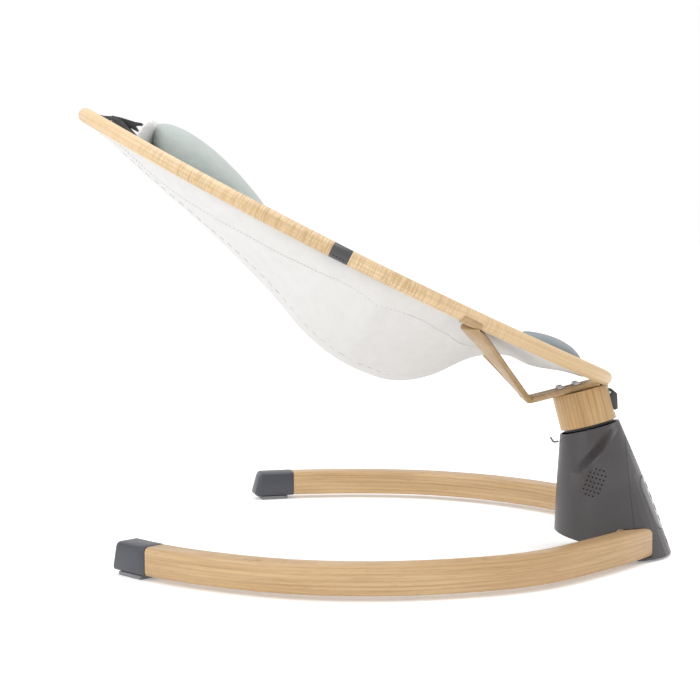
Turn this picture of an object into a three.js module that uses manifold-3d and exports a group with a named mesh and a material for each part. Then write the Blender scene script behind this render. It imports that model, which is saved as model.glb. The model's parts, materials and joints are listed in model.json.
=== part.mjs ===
// Electric baby bouncer: a horseshoe floor base with a drive tower at its closed end, a tilted
// swivel neck on the tower, and an oval reclined seat ring carrying a fabric sling.
// Millimetres, +Z up, +X towards the tower, the seat's head end towards -X. The floor is Z = 0.
import * as THREE from "three";
import { mergeVertices } from "three/addons/utils/BufferGeometryUtils.js";
import Module from "manifold-3d";

const wasm = await Module();
wasm.setup();

// ---- Driving dimensions -------------------------------------------------------------------
const GAP = 0.3; // clearance between pieces that touch
const TURN_GAP = 0.6; // clearance between pieces that turn past each other

const FLOOR_PAD = 6; // rubber pad under each leg end
const LEG_WIDTH = 34;
const LEG_HEIGHT = 35;
const LEG_EDGE = 5; // rounding of the leg's long edges
const BASE_LENGTH = 566; // tower centre to the open ends of the horseshoe
const BASE_HALF_WIDTH = 341; // to the leg's centreline at its widest
const CAP_LENGTH = 62;
const CAP_WALL = 3;
const CAP_RAKE = 8; // the cap's end face leans out by this much at its foot
const TENON_LENGTH = 26;

const TOWER_RX = 75; // half length of the tower's foot
const TOWER_RY = 78; // half width of the tower's foot
const TOWER_TOP_R = 39;
const TOWER_RIM = 3; // height of the shell's rim above the floor
const FRONT_RIM = 30; // height of the front shell's rim at its raised front edge
const SHELL_WALL = 2.6;
const SHELL_SPLIT_FOOT = 41; // where the two shells meet, at the floor
const SHELL_SPLIT_LEAN = 0.15;
const PLATE_THICKNESS = 2.6;
const PLATE_FRONT = -38; // the floor plate stops short of the shell's raised front rim

const NECK_TILT = 15; // degrees from upright, towards the seat's head end
const NECK_R = 36.5;
const NECK_HEIGHT = 45;
const NECK_FOOT = [-29, 165.8]; // X and Z of the centre of the neck's lower face
const RING_GAP = 4.6; // visible turning gap between neck and tower
const SHAFT_R = 9;
const BUSH_R = 15;
const HOUSING_R = 20;
const HOUSING_LENGTH = 62;

const SWING_REST = 12; // degrees that the seat stands swung towards -Y
const SWING_LIMIT = 15; // degrees each way from the middle
const DRIVE_RATIO = 6; // crank turns per turn of the seat
const LEVER_REACH = 24; // shaft to crank centre
const CRANK_THROW = LEVER_REACH * Math.tan(SWING_LIMIT * Math.PI / 180);
const CRANK_PIN_R = 3;
const SLOT_PLAY = 1.6; // room for the pin in the lever's slot

const TUBE_R = 9.3;
const TUBE_WALL = 1.5;
const RING_HALF_LENGTH = 373.4;
const RING_HALF_WIDTH = 203.5;
const RING_SAG = 12.4;
const RING_RECLINE = 26.4; // degrees
const RING_FOOT_END = [-10.5412, 225.5732]; // X and Z of the tube's centre over the neck
const RING_JOINT = 0.03; // place of the sleeves along the ring, 0 at its middle, 1 at the foot
const SLEEVE_LENGTH = 24;

const STRUT_PLACE = 0.49; // place of the struts along the ring
const ARM_Y = 18; // from the middle to each strut's lower arm
const STRUT_THICK = 8;
const STRUT_WIDE = 20;
const STRUT_FLARE = 1.25; // the strut's width at the ring, against its width at the elbow
const STRUT_TWIST_STEPS = 8;
const STRUT_REACH = 18; // from its lower arm's start to its elbow

const SLING_WALL = 3;
const SLING_INSET = 1.5;

const rad = (degrees) => degrees * Math.PI / 180;
const lerp = (a, b, t) => a + (b - a) * t;
const RING_CENTRE = [ // X and Z
  RING_FOOT_END[0] - RING_HALF_LENGTH * Math.cos(rad(RING_RECLINE)),
  RING_FOOT_END[1] + RING_HALF_LENGTH * Math.sin(rad(RING_RECLINE))];

// ---- Materials ----------------------------------------------------------------------------
const paint = (color, roughness, metalness = 0) =>
  new THREE.MeshStandardMaterial({ color, roughness, metalness });
const oak = () => paint(0xd2a978, 0.55);
const oakPrint = () => paint(0xd8b27e, 0.5);
const darkPlastic = () => paint(0x4a494c, 0.5);
const blackPlastic = () => paint(0x1c1c1e, 0.35);
const rubber = () => paint(0x6d6e70, 0.9);
const steel = () => paint(0xb8babd, 0.35, 1);
const whiteCloth = () => paint(0xeeeeec, 0.9);
const sageCloth = () => paint(0xc3cbc6, 0.95);
const blueCloth = () => paint(0x9aa6ab, 0.95);
const board = () => paint(0x2d6a45, 0.6);
const glossPanel = () => paint(0x8f9092, 0.1);

// ---- Solids -------------------------------------------------------------------------------
function toSolid(geometry) {
  const bare = geometry.index ? geometry.toNonIndexed() : geometry.clone();
  const plain = new THREE.BufferGeometry().setAttribute("position", bare.getAttribute("position"));
  const merged = mergeVertices(plain, 1e-3);
  return new wasm.Manifold(new wasm.Mesh({
    numProp: 3,
    vertProperties: merged.attributes.position.array,
    triVerts: new Uint32Array(merged.index.array),
  }));
}

function toGeometry(solid) {
  const m = solid.getMesh();
  const points = new Float32Array(m.numVert * 3);
  for (let i = 0; i < m.numVert; i++)
    points.set(m.vertProperties.subarray(i * m.numProp, i * m.numProp + 3), i * 3);
  return new THREE.BufferGeometry()
    .setAttribute("position", new THREE.BufferAttribute(points, 3))
    .setIndex(new THREE.BufferAttribute(m.triVerts, 1));
}

const cut = (solid, ...tools) => tools.reduce((left, tool) => left.subtract(tool), solid);
const join = (solid, ...others) => others.reduce((sum, other) => sum.add(other), solid);

// A matrix that puts a shape's own origin at `at`, with its +Z along `up` and +X near `side`.
function frameAt(at, up = [0, 0, 1], side = [1, 0, 0]) {
  const z = new THREE.Vector3(...up).normalize();
  const y = new THREE.Vector3().crossVectors(z, new THREE.Vector3(...side)).normalize();
  const x = new THREE.Vector3().crossVectors(y, z);
  return new THREE.Matrix4().makeBasis(x, y, z).setPosition(...at);
}

const boxSolid = (size, matrix) => toSolid(new THREE.BoxGeometry(...size).applyMatrix4(matrix));

// A round bar from z = 0 to z = height in the frame of `matrix`.
function rod(r, height, matrix, sides = 28, topR = r) {
  return toSolid(new THREE.CylinderGeometry(topR, r, height, sides)
    .rotateX(Math.PI / 2).translate(0, 0, height / 2).applyMatrix4(matrix));
}

// A closed body through rings of points, each ring with the same count, capped at both ends.
function loft(rings) {
  const n = rings[0].length;
  const position = [];
  const put = (...corners) => corners.forEach((c) => position.push(c.x, c.y, c.z));
  const middle = (ring) =>
    ring.reduce((sum, p) => sum.clone().add(p), new THREE.Vector3()).divideScalar(n);
  for (let i = 0; i + 1 < rings.length; i++)
    for (let j = 0; j < n; j++) {
      const k = (j + 1) % n;
      put(rings[i][j], rings[i][k], rings[i + 1][k]);
      put(rings[i][j], rings[i + 1][k], rings[i + 1][j]);
    }
  const [first, last] = [rings[0], rings[rings.length - 1]];
  for (let j = 0; j < n; j++) {
    const k = (j + 1) % n;
    put(middle(first), first[k], first[j]);
    put(middle(last), last[j], last[k]);
  }
  const geometry = new THREE.BufferGeometry();
  geometry.setAttribute("position", new THREE.Float32BufferAttribute(position, 3));
  const solid = toSolid(geometry);
  if (solid.volume() > 0) return solid;
  for (let i = 0; i < position.length; i += 9)
    for (let k = 0; k < 3; k++)
      [position[i + 3 + k], position[i + 6 + k]] = [position[i + 6 + k], position[i + 3 + k]];
  geometry.setAttribute("position", new THREE.Float32BufferAttribute(position, 3));
  return toSolid(geometry);
}

// A rectangle with rounded corners, as points [u, v] about its middle.
function roundedRect(width, height, r, steps = 3) {
  const points = [];
  for (let corner = 0; corner < 4; corner++) {
    const cx = (corner === 0 || corner === 3 ? 1 : -1) * (width / 2 - r);
    const cy = (corner < 2 ? 1 : -1) * (height / 2 - r);
    for (let i = 0; i <= steps; i++) {
      const a = (corner + i / steps) * Math.PI / 2;
      points.push([cx + r * Math.cos(a), cy + r * Math.sin(a)]);
    }
  }
  return points;
}

const root = new THREE.Group();
const base = new THREE.Group(); // stands on the floor
const seat = new THREE.Group(); // swings about the neck's axis
root.add(base, seat);

function addNode(group, name, solid, material) {
  const mesh = new THREE.Mesh(toGeometry(solid), material);
  mesh.name = name;
  group.add(mesh);
  return mesh;
}

// ---- The swing axis -----------------------------------------------------------------------
const AXIS = [-Math.sin(rad(NECK_TILT)), 0, Math.cos(rad(NECK_TILT))];
const ACROSS = [Math.cos(rad(NECK_TILT)), 0, Math.sin(rad(NECK_TILT))];
// The point at height `a` along the axis above the neck's lower face, `s` to its +X side.
const onAxis = (a, s = 0, y = 0) => [
  NECK_FOOT[0] + a * AXIS[0] + s * ACROSS[0],
  y,
  NECK_FOOT[1] + a * AXIS[2] + s * ACROSS[2],
];
const axisFrame = (a, s = 0, y = 0) => frameAt(onAxis(a, s, y), AXIS, ACROSS);

// ---- Floor base ---------------------------------------------------------------------------
const LEG_MIDDLE_Z = FLOOR_PAD + LEG_HEIGHT / 2;
// Shares of the base's length and half width, from the open end to the tower.
const LEG_SHAPE = [
  [-1, 0.775], [-0.9, 0.868], [-0.76, 0.953], [-0.583, 1], [-0.42, 0.964],
  [-0.26, 0.853], [-0.12, 0.68],
];
const LEG_TAIL = [[4, 122], [42, 44]]; // into the tower, between its wall and its frame

function legCurve(side) {
  const points = LEG_SHAPE.map(([x, y]) => [x * BASE_LENGTH, y * BASE_HALF_WIDTH])
    .concat(LEG_TAIL)
    .map(([x, y]) => new THREE.Vector3(x, side * y, LEG_MIDDLE_Z));
  return new THREE.CatmullRomCurve3(points, false, "centripetal");
}

// A bar along the leg's curve between two distances from its open end. `rake` leans the first
// face out at its foot; `nose` draws its first face in all round.
function legBar(side, from, to, width, height, options = {}) {
  const { steps = 24, rake = 0, nose = 0, edge = LEG_EDGE, corner = 2 } = options;
  const curve = legCurve(side);
  const length = curve.getLength();
  const outline = roundedRect(width, height, edge, corner);
  const end = Math.min(to, length);
  const stations = [];
  if (nose) stations.push([from, nose]);
  for (let i = 0; i <= steps; i++) stations.push([lerp(from + nose, end, i / steps), 0]);
  return loft(stations.map(([s, inset], index) => {
    const t = Math.min(1, s / length);
    const p = curve.getPointAt(t);
    const along = curve.getTangentAt(t);
    const out = new THREE.Vector3(along.y, -along.x, 0).normalize();
    const shrink = 1 - 2 * inset / height;
    return outline.map(([u, v]) => {
      const lean = index <= 1 ? rake * (0.5 + v / height) : 0;
      return p.clone()
        .addScaledVector(out, u * shrink)
        .addScaledVector(along, lean)
        .setZ(LEG_MIDDLE_Z + v * shrink);
    });
  }));
}

function addLeg(side, name) {
  const tenon = [LEG_WIDTH - 2 * CAP_WALL, LEG_HEIGHT - 2 * CAP_WALL];
  const bar = legBar(side, CAP_LENGTH, Infinity, LEG_WIDTH, LEG_HEIGHT, { steps: 22 });
  const tongue = legBar(side, CAP_LENGTH - TENON_LENGTH, CAP_LENGTH + 2, ...tenon,
    { steps: 3, edge: 2 });
  const pocket = legBar(side, CAP_LENGTH - TENON_LENGTH - GAP, CAP_LENGTH + 2,
    tenon[0] + 2 * GAP, tenon[1] + 2 * GAP, { steps: 3, edge: 2 });
  const shell = legBar(side, 0, CAP_LENGTH - GAP, LEG_WIDTH + 1, LEG_HEIGHT + 1,
    { steps: 5, rake: CAP_RAKE, nose: 4 });
  const bolts = legBoltPlaces(side).map((at) =>
    rod(LEG_BOLT_R + GAP, LEG_BOLT_LENGTH, frameAt([at[0], at[1], TOWER_RIM - 1]), 12));
  addNode(base, "base_leg_" + name, cut(join(bar, tongue), ...bolts), oak());
  addNode(base, "leg_cap_" + name, cut(shell, pocket), darkPlastic());
  addNode(base, "leg_pad_" + name, legPad(side), rubber());
}

// The rubber pad under a cap, a little in from the cap's edges.
const PAD_INSET = 5;
function legPad(side) {
  const top = LEG_MIDDLE_Z - LEG_HEIGHT / 2 - 0.5 - GAP;
  const pad = legBar(side, 12, CAP_LENGTH - 10, LEG_WIDTH - PAD_INSET, LEG_HEIGHT,
    { steps: 3, edge: 2 });
  const slab = boxSolid([4 * BASE_LENGTH, 4 * BASE_HALF_WIDTH, top],
    frameAt([0, 0, top / 2]));
  return pad.translate([0, 0, -LEG_MIDDLE_Z + LEG_HEIGHT / 2]).intersect(slab);
}

const LEG_BOLT_R = 3;
const LEG_BOLT_LENGTH = 28;
const LEG_BOLT_HEAD = 5.5;
const LEG_BOLT_BACK = 14; // from the leg's inner end
// A bolt holds each leg's tail down on the tower's floor plate.
function legBoltPlaces(side) {
  const curve = legCurve(side);
  const length = curve.getLength();
  return [curve.getPointAt(1 - LEG_BOLT_BACK / length).toArray()];
}

function addLegBolts(side, name) {
  legBoltPlaces(side).forEach(([x, y]) => {
    const shank = rod(LEG_BOLT_R, LEG_BOLT_LENGTH - 3, frameAt([x, y, TOWER_RIM - 1.2]), 12);
    const head = rod(LEG_BOLT_HEAD, 1.6, frameAt([x, y, TOWER_RIM - 2 - GAP]), 12);
    addNode(base, "leg_bolt_" + name, join(shank, head), steel());
  });
}

// ---- Tower --------------------------------------------------------------------------------
const TOWER_TOP = -RING_GAP; // along the axis
const TOWER_STEPS = 5;
const TOWER_SIDES = 36;
// Lofted skin of the tower, drawn in by `inset` all round and carried past both ends by `over`.
function towerBody(inset, over = 0) {
  const top = new THREE.Vector3(...onAxis(TOWER_TOP));
  const foot = new THREE.Vector3(3, 0, TOWER_RIM);
  const rings = [];
  for (let i = 0; i <= TOWER_STEPS; i++) {
    const t = lerp(-over, 1 + over, i / TOWER_STEPS);
    const swell = 0.9 * Math.sin(Math.PI * t);
    const rx = lerp(TOWER_RX, TOWER_TOP_R, t) - inset + swell;
    const ry = lerp(TOWER_RY, TOWER_TOP_R, t) - inset + swell;
    const tilt = rad(NECK_TILT) * t;
    const centre = foot.clone().lerp(top, t);
    rings.push(Array.from({ length: TOWER_SIDES }, (_, j) => {
      const a = 2 * Math.PI * j / TOWER_SIDES;
      return new THREE.Vector3(
        centre.x + rx * Math.cos(a) * Math.cos(tilt),
        ry * Math.sin(a),
        centre.z + rx * Math.cos(a) * Math.sin(tilt));
    }));
  }
  return loft(rings);
}

// Everything on the +X side of the line where the two shells meet, moved by `shift` along X.
function rearHalf(shift) {
  const lean = Math.atan(SHELL_SPLIT_LEAN);
  const normal = [Math.cos(lean), 0, Math.sin(lean)];
  const at = [SHELL_SPLIT_FOOT + shift + 200 * normal[0], 0, 200 * normal[2]];
  return boxSolid([400, 400, 400], frameAt(at, normal, [0, 1, 0]));
}

// Where a leg goes through the tower's wall.
function legPorts() {
  const room = 2 * (GAP + 0.7);
  return [-1, 1].map((side) => legBar(side, CAP_LENGTH, Infinity,
    LEG_WIDTH + room, LEG_HEIGHT + room, { steps: 22 }));
}

const GRILLE_Z = 98; // middle of the speaker holes
const GRILLE_STEP = 5.2;
function speakerHoles() {
  const holes = [];
  const centre = towerPoint(GRILLE_Z, -90);
  for (let row = -3; row <= 3; row++)
    for (let col = -2; col <= 2; col++) {
      if (Math.abs(row) + Math.abs(col) > 4) continue;
      const x = centre[0] + (col + row * 0.45) * GRILLE_STEP * 0.9;
      const z = GRILLE_Z + row * GRILLE_STEP - col * 1.2;
      holes.push(rod(1.1, 24, frameAt([x, centre[1] - 12, z], [0, 1, 0], [1, 0, 0]), 6));
    }
  return holes;
}

// The point of the tower's outer skin at a height and a bearing in degrees from +X.
function towerPoint(z, bearing, inset = 0) {
  const top = onAxis(TOWER_TOP);
  const t = (z - TOWER_RIM) / (top[2] - TOWER_RIM);
  const rx = lerp(TOWER_RX, TOWER_TOP_R, t) - inset;
  const ry = lerp(TOWER_RY, TOWER_TOP_R, t) - inset;
  return [lerp(3, top[0], t) + rx * Math.cos(rad(bearing)), ry * Math.sin(rad(bearing)), z];
}

function addSpeaker() {
  const at = towerPoint(GRILLE_Z, -90, SHELL_WALL + 4);
  const facing = (back) => frameAt([at[0], at[1] + back, at[2]], [0, 1, 0], [1, 0, 0]);
  addNode(base, "speaker",
    join(rod(15, 5, facing(0), 24), rod(9, 11, facing(4), 20)), blackPlastic());
}

const HOOK_WIRE_R = 1;
const HOOK_Z = 141;
// A small bent wire at the front of the tower's collar.
function addLockHook() {
  const [x] = towerPoint(HOOK_Z, 180, -GAP - 0.6);
  const path = new THREE.CatmullRomCurve3([[0, 0, 0], [-4, 0, -0.5], [-7, 0, 1.5], [-9.5, 0, 6]]
    .map(([dx, y, dz]) => new THREE.Vector3(x + dx, y, HOOK_Z + dz)));
  const section = new THREE.Shape(roundedRect(2 * HOOK_WIRE_R, 2 * HOOK_WIRE_R, HOOK_WIRE_R * 0.99, 2)
    .map(([u, v]) => new THREE.Vector2(u, v)));
  const wire = toSolid(new THREE.ExtrudeGeometry(section, { steps: 8, extrudePath: path }));
  addNode(base, "lock_hook", wire, steel());
}

const PANEL_LOW = 34;
const PANEL_HIGH = 100;
const PANEL_WIDE = 46;
const PANEL_LEAN = Math.atan2(
  towerPoint(PANEL_LOW, 0)[0] - towerPoint(PANEL_HIGH, 0)[0], PANEL_HIGH - PANEL_LOW);
const PANEL_NORMAL = [Math.cos(PANEL_LEAN), 0, Math.sin(PANEL_LEAN)];
const PANEL_UP = [-Math.sin(PANEL_LEAN), 0, Math.cos(PANEL_LEAN)];
// A point on the control panel, `up` its middle and `out` from the tower's skin.
function panelPoint(up, out, y = 0) {
  const low = towerPoint(PANEL_LOW, 0);
  const high = towerPoint(PANEL_HIGH, 0);
  const mid = low.map((v, i) => (v + high[i]) / 2);
  return [mid[0] + up * PANEL_UP[0] + out * PANEL_NORMAL[0], y,
    mid[2] + up * PANEL_UP[2] + out * PANEL_NORMAL[2]];
}

// A stadium-shaped plug through the wall where the control panel sits.
function panelPlug(grow) {
  const length = Math.hypot(PANEL_HIGH - PANEL_LOW,
    towerPoint(PANEL_LOW, 0)[0] - towerPoint(PANEL_HIGH, 0)[0]);
  const shape = new THREE.Shape(roundedRect(length + 2 * grow, PANEL_WIDE + 2 * grow, 15 + grow, 5)
    .map(([u, v]) => new THREE.Vector2(u, v)));
  const geometry = new THREE.ExtrudeGeometry(shape, { depth: 40, bevelEnabled: false });
  geometry.applyMatrix4(frameAt(panelPoint(0, -20), PANEL_NORMAL, PANEL_UP));
  return toSolid(geometry);
}

const BUTTONS = ["power_button", "slower_button", "faster_button", "music_button"];
const BUTTON_PITCH = 15;
const BUTTON_R = 5;
const buttonUp = (i) => (1.5 - i) * BUTTON_PITCH;
const buttonBar = (i, r, from, to) =>
  rod(r, to - from, frameAt(panelPoint(buttonUp(i), from), PANEL_NORMAL, PANEL_UP), 20);

function addControls() {
  const skin = cut(towerBody(-0.8, 0.02), towerBody(SHELL_WALL - 0.4, 0.04));
  const holes = BUTTONS.map((_, i) => buttonBar(i, BUTTON_R + GAP, -12, 8));
  addNode(base, "control_panel", cut(panelPlug(-GAP - 0.2).intersect(skin), ...holes), glossPanel());
  BUTTONS.forEach((name, i) =>
    addNode(base, name, join(buttonBar(i, BUTTON_R, -6, 1.8), buttonBar(i, BUTTON_R + 1.2, -6, -4.2)),
      blackPlastic()));
  const size = [PANEL_HIGH - PANEL_LOW, PANEL_WIDE - 8, 1.6];
  addNode(base, "control_board",
    boxSolid(size, frameAt(panelPoint(0, -8.4), PANEL_NORMAL, PANEL_UP)), board());
}

const INLET_Z = 18;
const INLET_R = 5;
const INLET_HOLE_R = 3.3;
const inletBar = (r, from, to) =>
  rod(r, to - from, frameAt([from, 0, INLET_Z], [1, 0, 0], [0, 1, 0]), 20);

function addTowerShells() {
  const hollow = towerBody(SHELL_WALL, 0.04);
  const raised = Math.atan((FRONT_RIM - TOWER_RIM - 6) / (2 * TOWER_RX));
  const trim = boxSolid([400, 400, 60],
    frameAt([-TOWER_RX, 0, FRONT_RIM], [Math.sin(raised), 0, Math.cos(raised)]).multiply(
      new THREE.Matrix4().makeTranslation(0, 0, -30)));
  const whole = cut(towerBody(0), hollow, ...legPorts());
  const rear = whole.intersect(rearHalf(GAP));
  const front = cut(whole, rearHalf(0), trim, ...speakerHoles());
  const skinX = towerPoint(INLET_Z, 0)[0];
  addNode(base, "tower_front_shell", largest(front), darkPlastic());
  addNode(base, "tower_rear_shell",
    largest(cut(rear, panelPlug(0), inletBar(INLET_R + GAP, skinX - 12, skinX + 6))), darkPlastic());
  const socket = join(inletBar(INLET_R, skinX - 16, skinX - 0.5),
    inletBar(INLET_R + 2, skinX - 16, skinX - 4.5));
  addNode(base, "power_inlet",
    cut(socket, inletBar(INLET_HOLE_R, skinX - 11, skinX)), blackPlastic());
}

function largest(solid) {
  return solid.decompose().reduce((best, piece) => (piece.volume() > best.volume() ? piece : best));
}

function addFloorPlate() {
  const slab = boxSolid([300, 300, PLATE_THICKNESS],
    frameAt([0, 0, TOWER_RIM + PLATE_THICKNESS / 2]));
  const bolts = [-1, 1].flatMap(legBoltPlaces).map((at) =>
    rod(LEG_BOLT_R + GAP, 20, frameAt([at[0], at[1], TOWER_RIM - 5]), 12));
  const front = boxSolid([100, 300, 40], frameAt([PLATE_FRONT - 50, 0, TOWER_RIM]));
  addNode(base, "floor_plate",
    cut(towerBody(SHELL_WALL + 1, 0.04).intersect(slab), front, ...bolts), darkPlastic());
  [[PLATE_FRONT + 12, 0], [2, -60], [2, 60]].forEach(([x, y], i) => {
    const foot = rod(9, TOWER_RIM - GAP, frameAt([x, y, 0]), 24);
    addNode(base, ["tower_foot_front", "tower_foot_right", "tower_foot_left"][i], foot, rubber());
  });
}

// ---- Drive --------------------------------------------------------------------------------
const HOUSING_TOP = TOWER_TOP - 1;
const LEVER_TOP = HOUSING_TOP - HOUSING_LENGTH - 2;
const LEVER_THICK = 6;
const CRANK_TOP = LEVER_TOP - LEVER_THICK - 1;
const CRANK_THICK = 5;
const MOTOR_PLATE_TOP = CRANK_TOP - CRANK_THICK - 1.5;
const MOTOR_PLATE_THICK = 3;
const GEARBOX_TOP = MOTOR_PLATE_TOP - MOTOR_PLATE_THICK - GAP;
const GEARBOX_HEIGHT = 22;
const MOTOR_R = 13;
const MOTOR_LENGTH = 30;
const WEB_Y = 30;
const WEB_THICK = 4;

function addFrame() {
  const housing = rod(HOUSING_R, HOUSING_LENGTH, axisFrame(HOUSING_TOP - HOUSING_LENGTH));
  const bore = rod(BUSH_R + GAP, HOUSING_LENGTH + 2, axisFrame(HOUSING_TOP - HOUSING_LENGTH - 1));
  const crossPlate = (a, thick, long) =>
    boxSolid([long, 2 * WEB_Y + WEB_THICK, thick], axisFrame(a - thick / 2, -6));
  const web = (side) => {
    const foot = TOWER_RIM + PLATE_THICKNESS + GAP;
    const top = onAxis(HOUSING_TOP - 36);
    return boxSolid([30, WEB_THICK, top[2] - foot],
      frameAt([-19, side * WEB_Y, (top[2] + foot) / 2]));
  };
  const foot = boxSolid([30, 2 * WEB_Y + WEB_THICK, 3],
    frameAt([-19, 0, TOWER_RIM + PLATE_THICKNESS + GAP + 1.5]));
  const shaftHole = rod(5, 10, axisFrame(MOTOR_PLATE_TOP - 6, -LEVER_REACH));
  const plates = cut(crossPlate(MOTOR_PLATE_TOP, MOTOR_PLATE_THICK, 62), shaftHole);
  const frame = cut(
    join(housing, crossPlate(HOUSING_TOP - 32, 6, 44), web(-1), web(1), foot, plates),
    bore);
  addNode(base, "tower_frame", frame, steel());
  const bush = (a) => cut(rod(BUSH_R, 10, axisFrame(a)), rod(SHAFT_R + GAP, 12, axisFrame(a - 1)));
  addNode(base, "upper_bush", bush(HOUSING_TOP - 10), paint(0xc9a04e, 0.4, 1));
  addNode(base, "lower_bush", bush(HOUSING_TOP - HOUSING_LENGTH), paint(0xc9a04e, 0.4, 1));
}

function addMotor() {
  const at = (a) => axisFrame(a, -LEVER_REACH);
  const box = boxSolid([36, 46, GEARBOX_HEIGHT],
    axisFrame(GEARBOX_TOP - GEARBOX_HEIGHT / 2, -LEVER_REACH + 4));
  addNode(base, "gearbox", cut(box, rod(2.4, 14, at(GEARBOX_TOP - 12))), darkPlastic());
  const can = rod(MOTOR_R, MOTOR_LENGTH,
    axisFrame(GEARBOX_TOP - GEARBOX_HEIGHT - GAP - MOTOR_LENGTH, -LEVER_REACH + 6));
  addNode(base, "motor", can, steel());
}

// Turns a matrix about the swing axis (s = 0) or a line parallel to it.
function turnedAbout(degrees, s = 0) {
  const p = onAxis(0, s);
  return new THREE.Matrix4().makeTranslation(...p)
    .multiply(new THREE.Matrix4().makeRotationAxis(new THREE.Vector3(...AXIS), rad(degrees)))
    .multiply(new THREE.Matrix4().makeTranslation(-p[0], -p[1], -p[2]));
}

function addCrank() {
  const place = turnedAbout(DRIVE_RATIO * SWING_REST, -LEVER_REACH);
  const at = (a, s = 0) => place.clone().multiply(axisFrame(a, -LEVER_REACH - s));
  const disc = rod(CRANK_THROW + CRANK_PIN_R + 2.5, CRANK_THICK, at(CRANK_TOP - CRANK_THICK), 32);
  const pin = rod(CRANK_PIN_R, CRANK_THICK + LEVER_THICK, at(CRANK_TOP - 2, CRANK_THROW), 20);
  const stub = rod(2, CRANK_THICK + 11, at(CRANK_TOP - CRANK_THICK - 12), 16);
  addNode(base, "crank", join(disc, pin, stub), steel());
}

// ---- Neck and swivel shaft, in the seat's own unswung frame ---------------------------------
const ARM_HOLE_R = 2.5;
function addNeck() {
  const ringSaddle = ringFoot(TUBE_R + 2 * GAP);
  const post = rod(NECK_R, NECK_HEIGHT, axisFrame(0), 40);
  const bore = rod(SHAFT_R + GAP, NECK_HEIGHT + 2, axisFrame(-1), 24);
  const screwHoles = armScrewPlaces().map(([s, y]) =>
    rod(ARM_HOLE_R + GAP, 26, axisFrame(NECK_HEIGHT - 22, s, y), 12));
  addNode(seat, "neck_post", cut(post, bore, ringSaddle, leverPocket(), ...screwHoles), oak());
  const ring = cut(rod(NECK_R - 4, RING_GAP - TURN_GAP - GAP, axisFrame(TOWER_TOP + TURN_GAP), 40),
    rod(SHAFT_R + GAP, RING_GAP + 2, axisFrame(TOWER_TOP - 1)));
  addNode(seat, "turn_ring", ring, blackPlastic());
  const shaft = rod(SHAFT_R, NECK_HEIGHT - 3 - LEVER_TOP, axisFrame(LEVER_TOP), 24);
  addNode(seat, "swivel_shaft", shaft, steel());
}

function addSwingLever() {
  const width = 2 * (CRANK_PIN_R + SLOT_PLAY) + 10;
  const reach = LEVER_REACH + CRANK_THROW + CRANK_PIN_R + 6;
  const arm = boxSolid([reach, width, LEVER_THICK],
    axisFrame(LEVER_TOP - GAP - LEVER_THICK / 2, -reach / 2));
  const hub = rod(SHAFT_R + 4, LEVER_THICK, axisFrame(LEVER_TOP - GAP - LEVER_THICK), 24);
  const slotLength = 2 * (CRANK_THROW + CRANK_PIN_R + 1.5);
  const slot = boxSolid([slotLength, 2 * (CRANK_PIN_R + SLOT_PLAY), 20],
    axisFrame(LEVER_TOP - LEVER_THICK / 2, -LEVER_REACH));
  addNode(seat, "swing_lever", cut(join(arm, hub), slot), steel());
}

// ---- Seat ring ----------------------------------------------------------------------------
const RECLINE = rad(RING_RECLINE);
const RING_ALONG = [Math.cos(RECLINE), 0, -Math.sin(RECLINE)];
const RING_UP = [Math.sin(RECLINE), 0, Math.cos(RECLINE)];
const RING_FULLNESS = 0.87;

// The ring's middle plane: u runs from -1 at the head to 1 at the foot, `lift` is above it.
function ringPlane(u, y, lift = 0) {
  const bow = lift - RING_SAG * (1 - u * u);
  return new THREE.Vector3(
    RING_CENTRE[0] + u * RING_HALF_LENGTH * RING_ALONG[0] + bow * RING_UP[0],
    y,
    RING_CENTRE[1] + u * RING_HALF_LENGTH * RING_ALONG[2] + bow * RING_UP[2]);
}
// Half width inside the ring's centreline at u, kept `inset` away from that line.
const ringWidthAt = (u, inset = 0) => {
  const v = u / (1 - inset / RING_HALF_LENGTH);
  return (RING_HALF_WIDTH - inset) * Math.pow(Math.max(0, 1 - v * v), RING_FULLNESS / 2);
};

// The point of the ring's centreline at an angle, 0 at the head, through +Y, to PI at the foot.
const ringPoint = (angle) => {
  const u = -Math.cos(angle);
  return ringPlane(u, Math.sign(Math.sin(angle)) * ringWidthAt(u));
};

class RingCurve extends THREE.Curve {
  constructor(from, to) {
    super();
    this.from = from;
    this.to = to;
  }
  getPoint(t, target = new THREE.Vector3()) {
    return target.copy(ringPoint(lerp(this.from, this.to, t)));
  }
}

// A round bar along part of the ring, between two angles of ringPoint.
function ringBar(r, fromAngle, toAngle, steps, sides = 12) {
  const curve = new RingCurve(fromAngle, toAngle);
  const rings = [];
  for (let i = 0; i <= steps; i++) {
    const p = curve.getPoint(i / steps);
    const t = curve.getTangent(Math.min(0.9999, Math.max(0.0001, i / steps)));
    const up = new THREE.Vector3(...RING_UP);
    const out = new THREE.Vector3().crossVectors(t, up).normalize();
    const over = new THREE.Vector3().crossVectors(out, t).normalize();
    rings.push(Array.from({ length: sides }, (_, j) => {
      const a = 2 * Math.PI * (j + 0.5) / sides;
      return p.clone().addScaledVector(out, r * Math.cos(a)).addScaledVector(over, r * Math.sin(a));
    }));
  }
  return loft(rings);
}

// The ring's foot end as a solid bar, to cut the pieces that it lies on.
function ringFoot(r) {
  const angle = Math.acos(-0.93);
  return ringBar(r, angle, 2 * Math.PI - angle, 14, 16);
}

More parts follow.
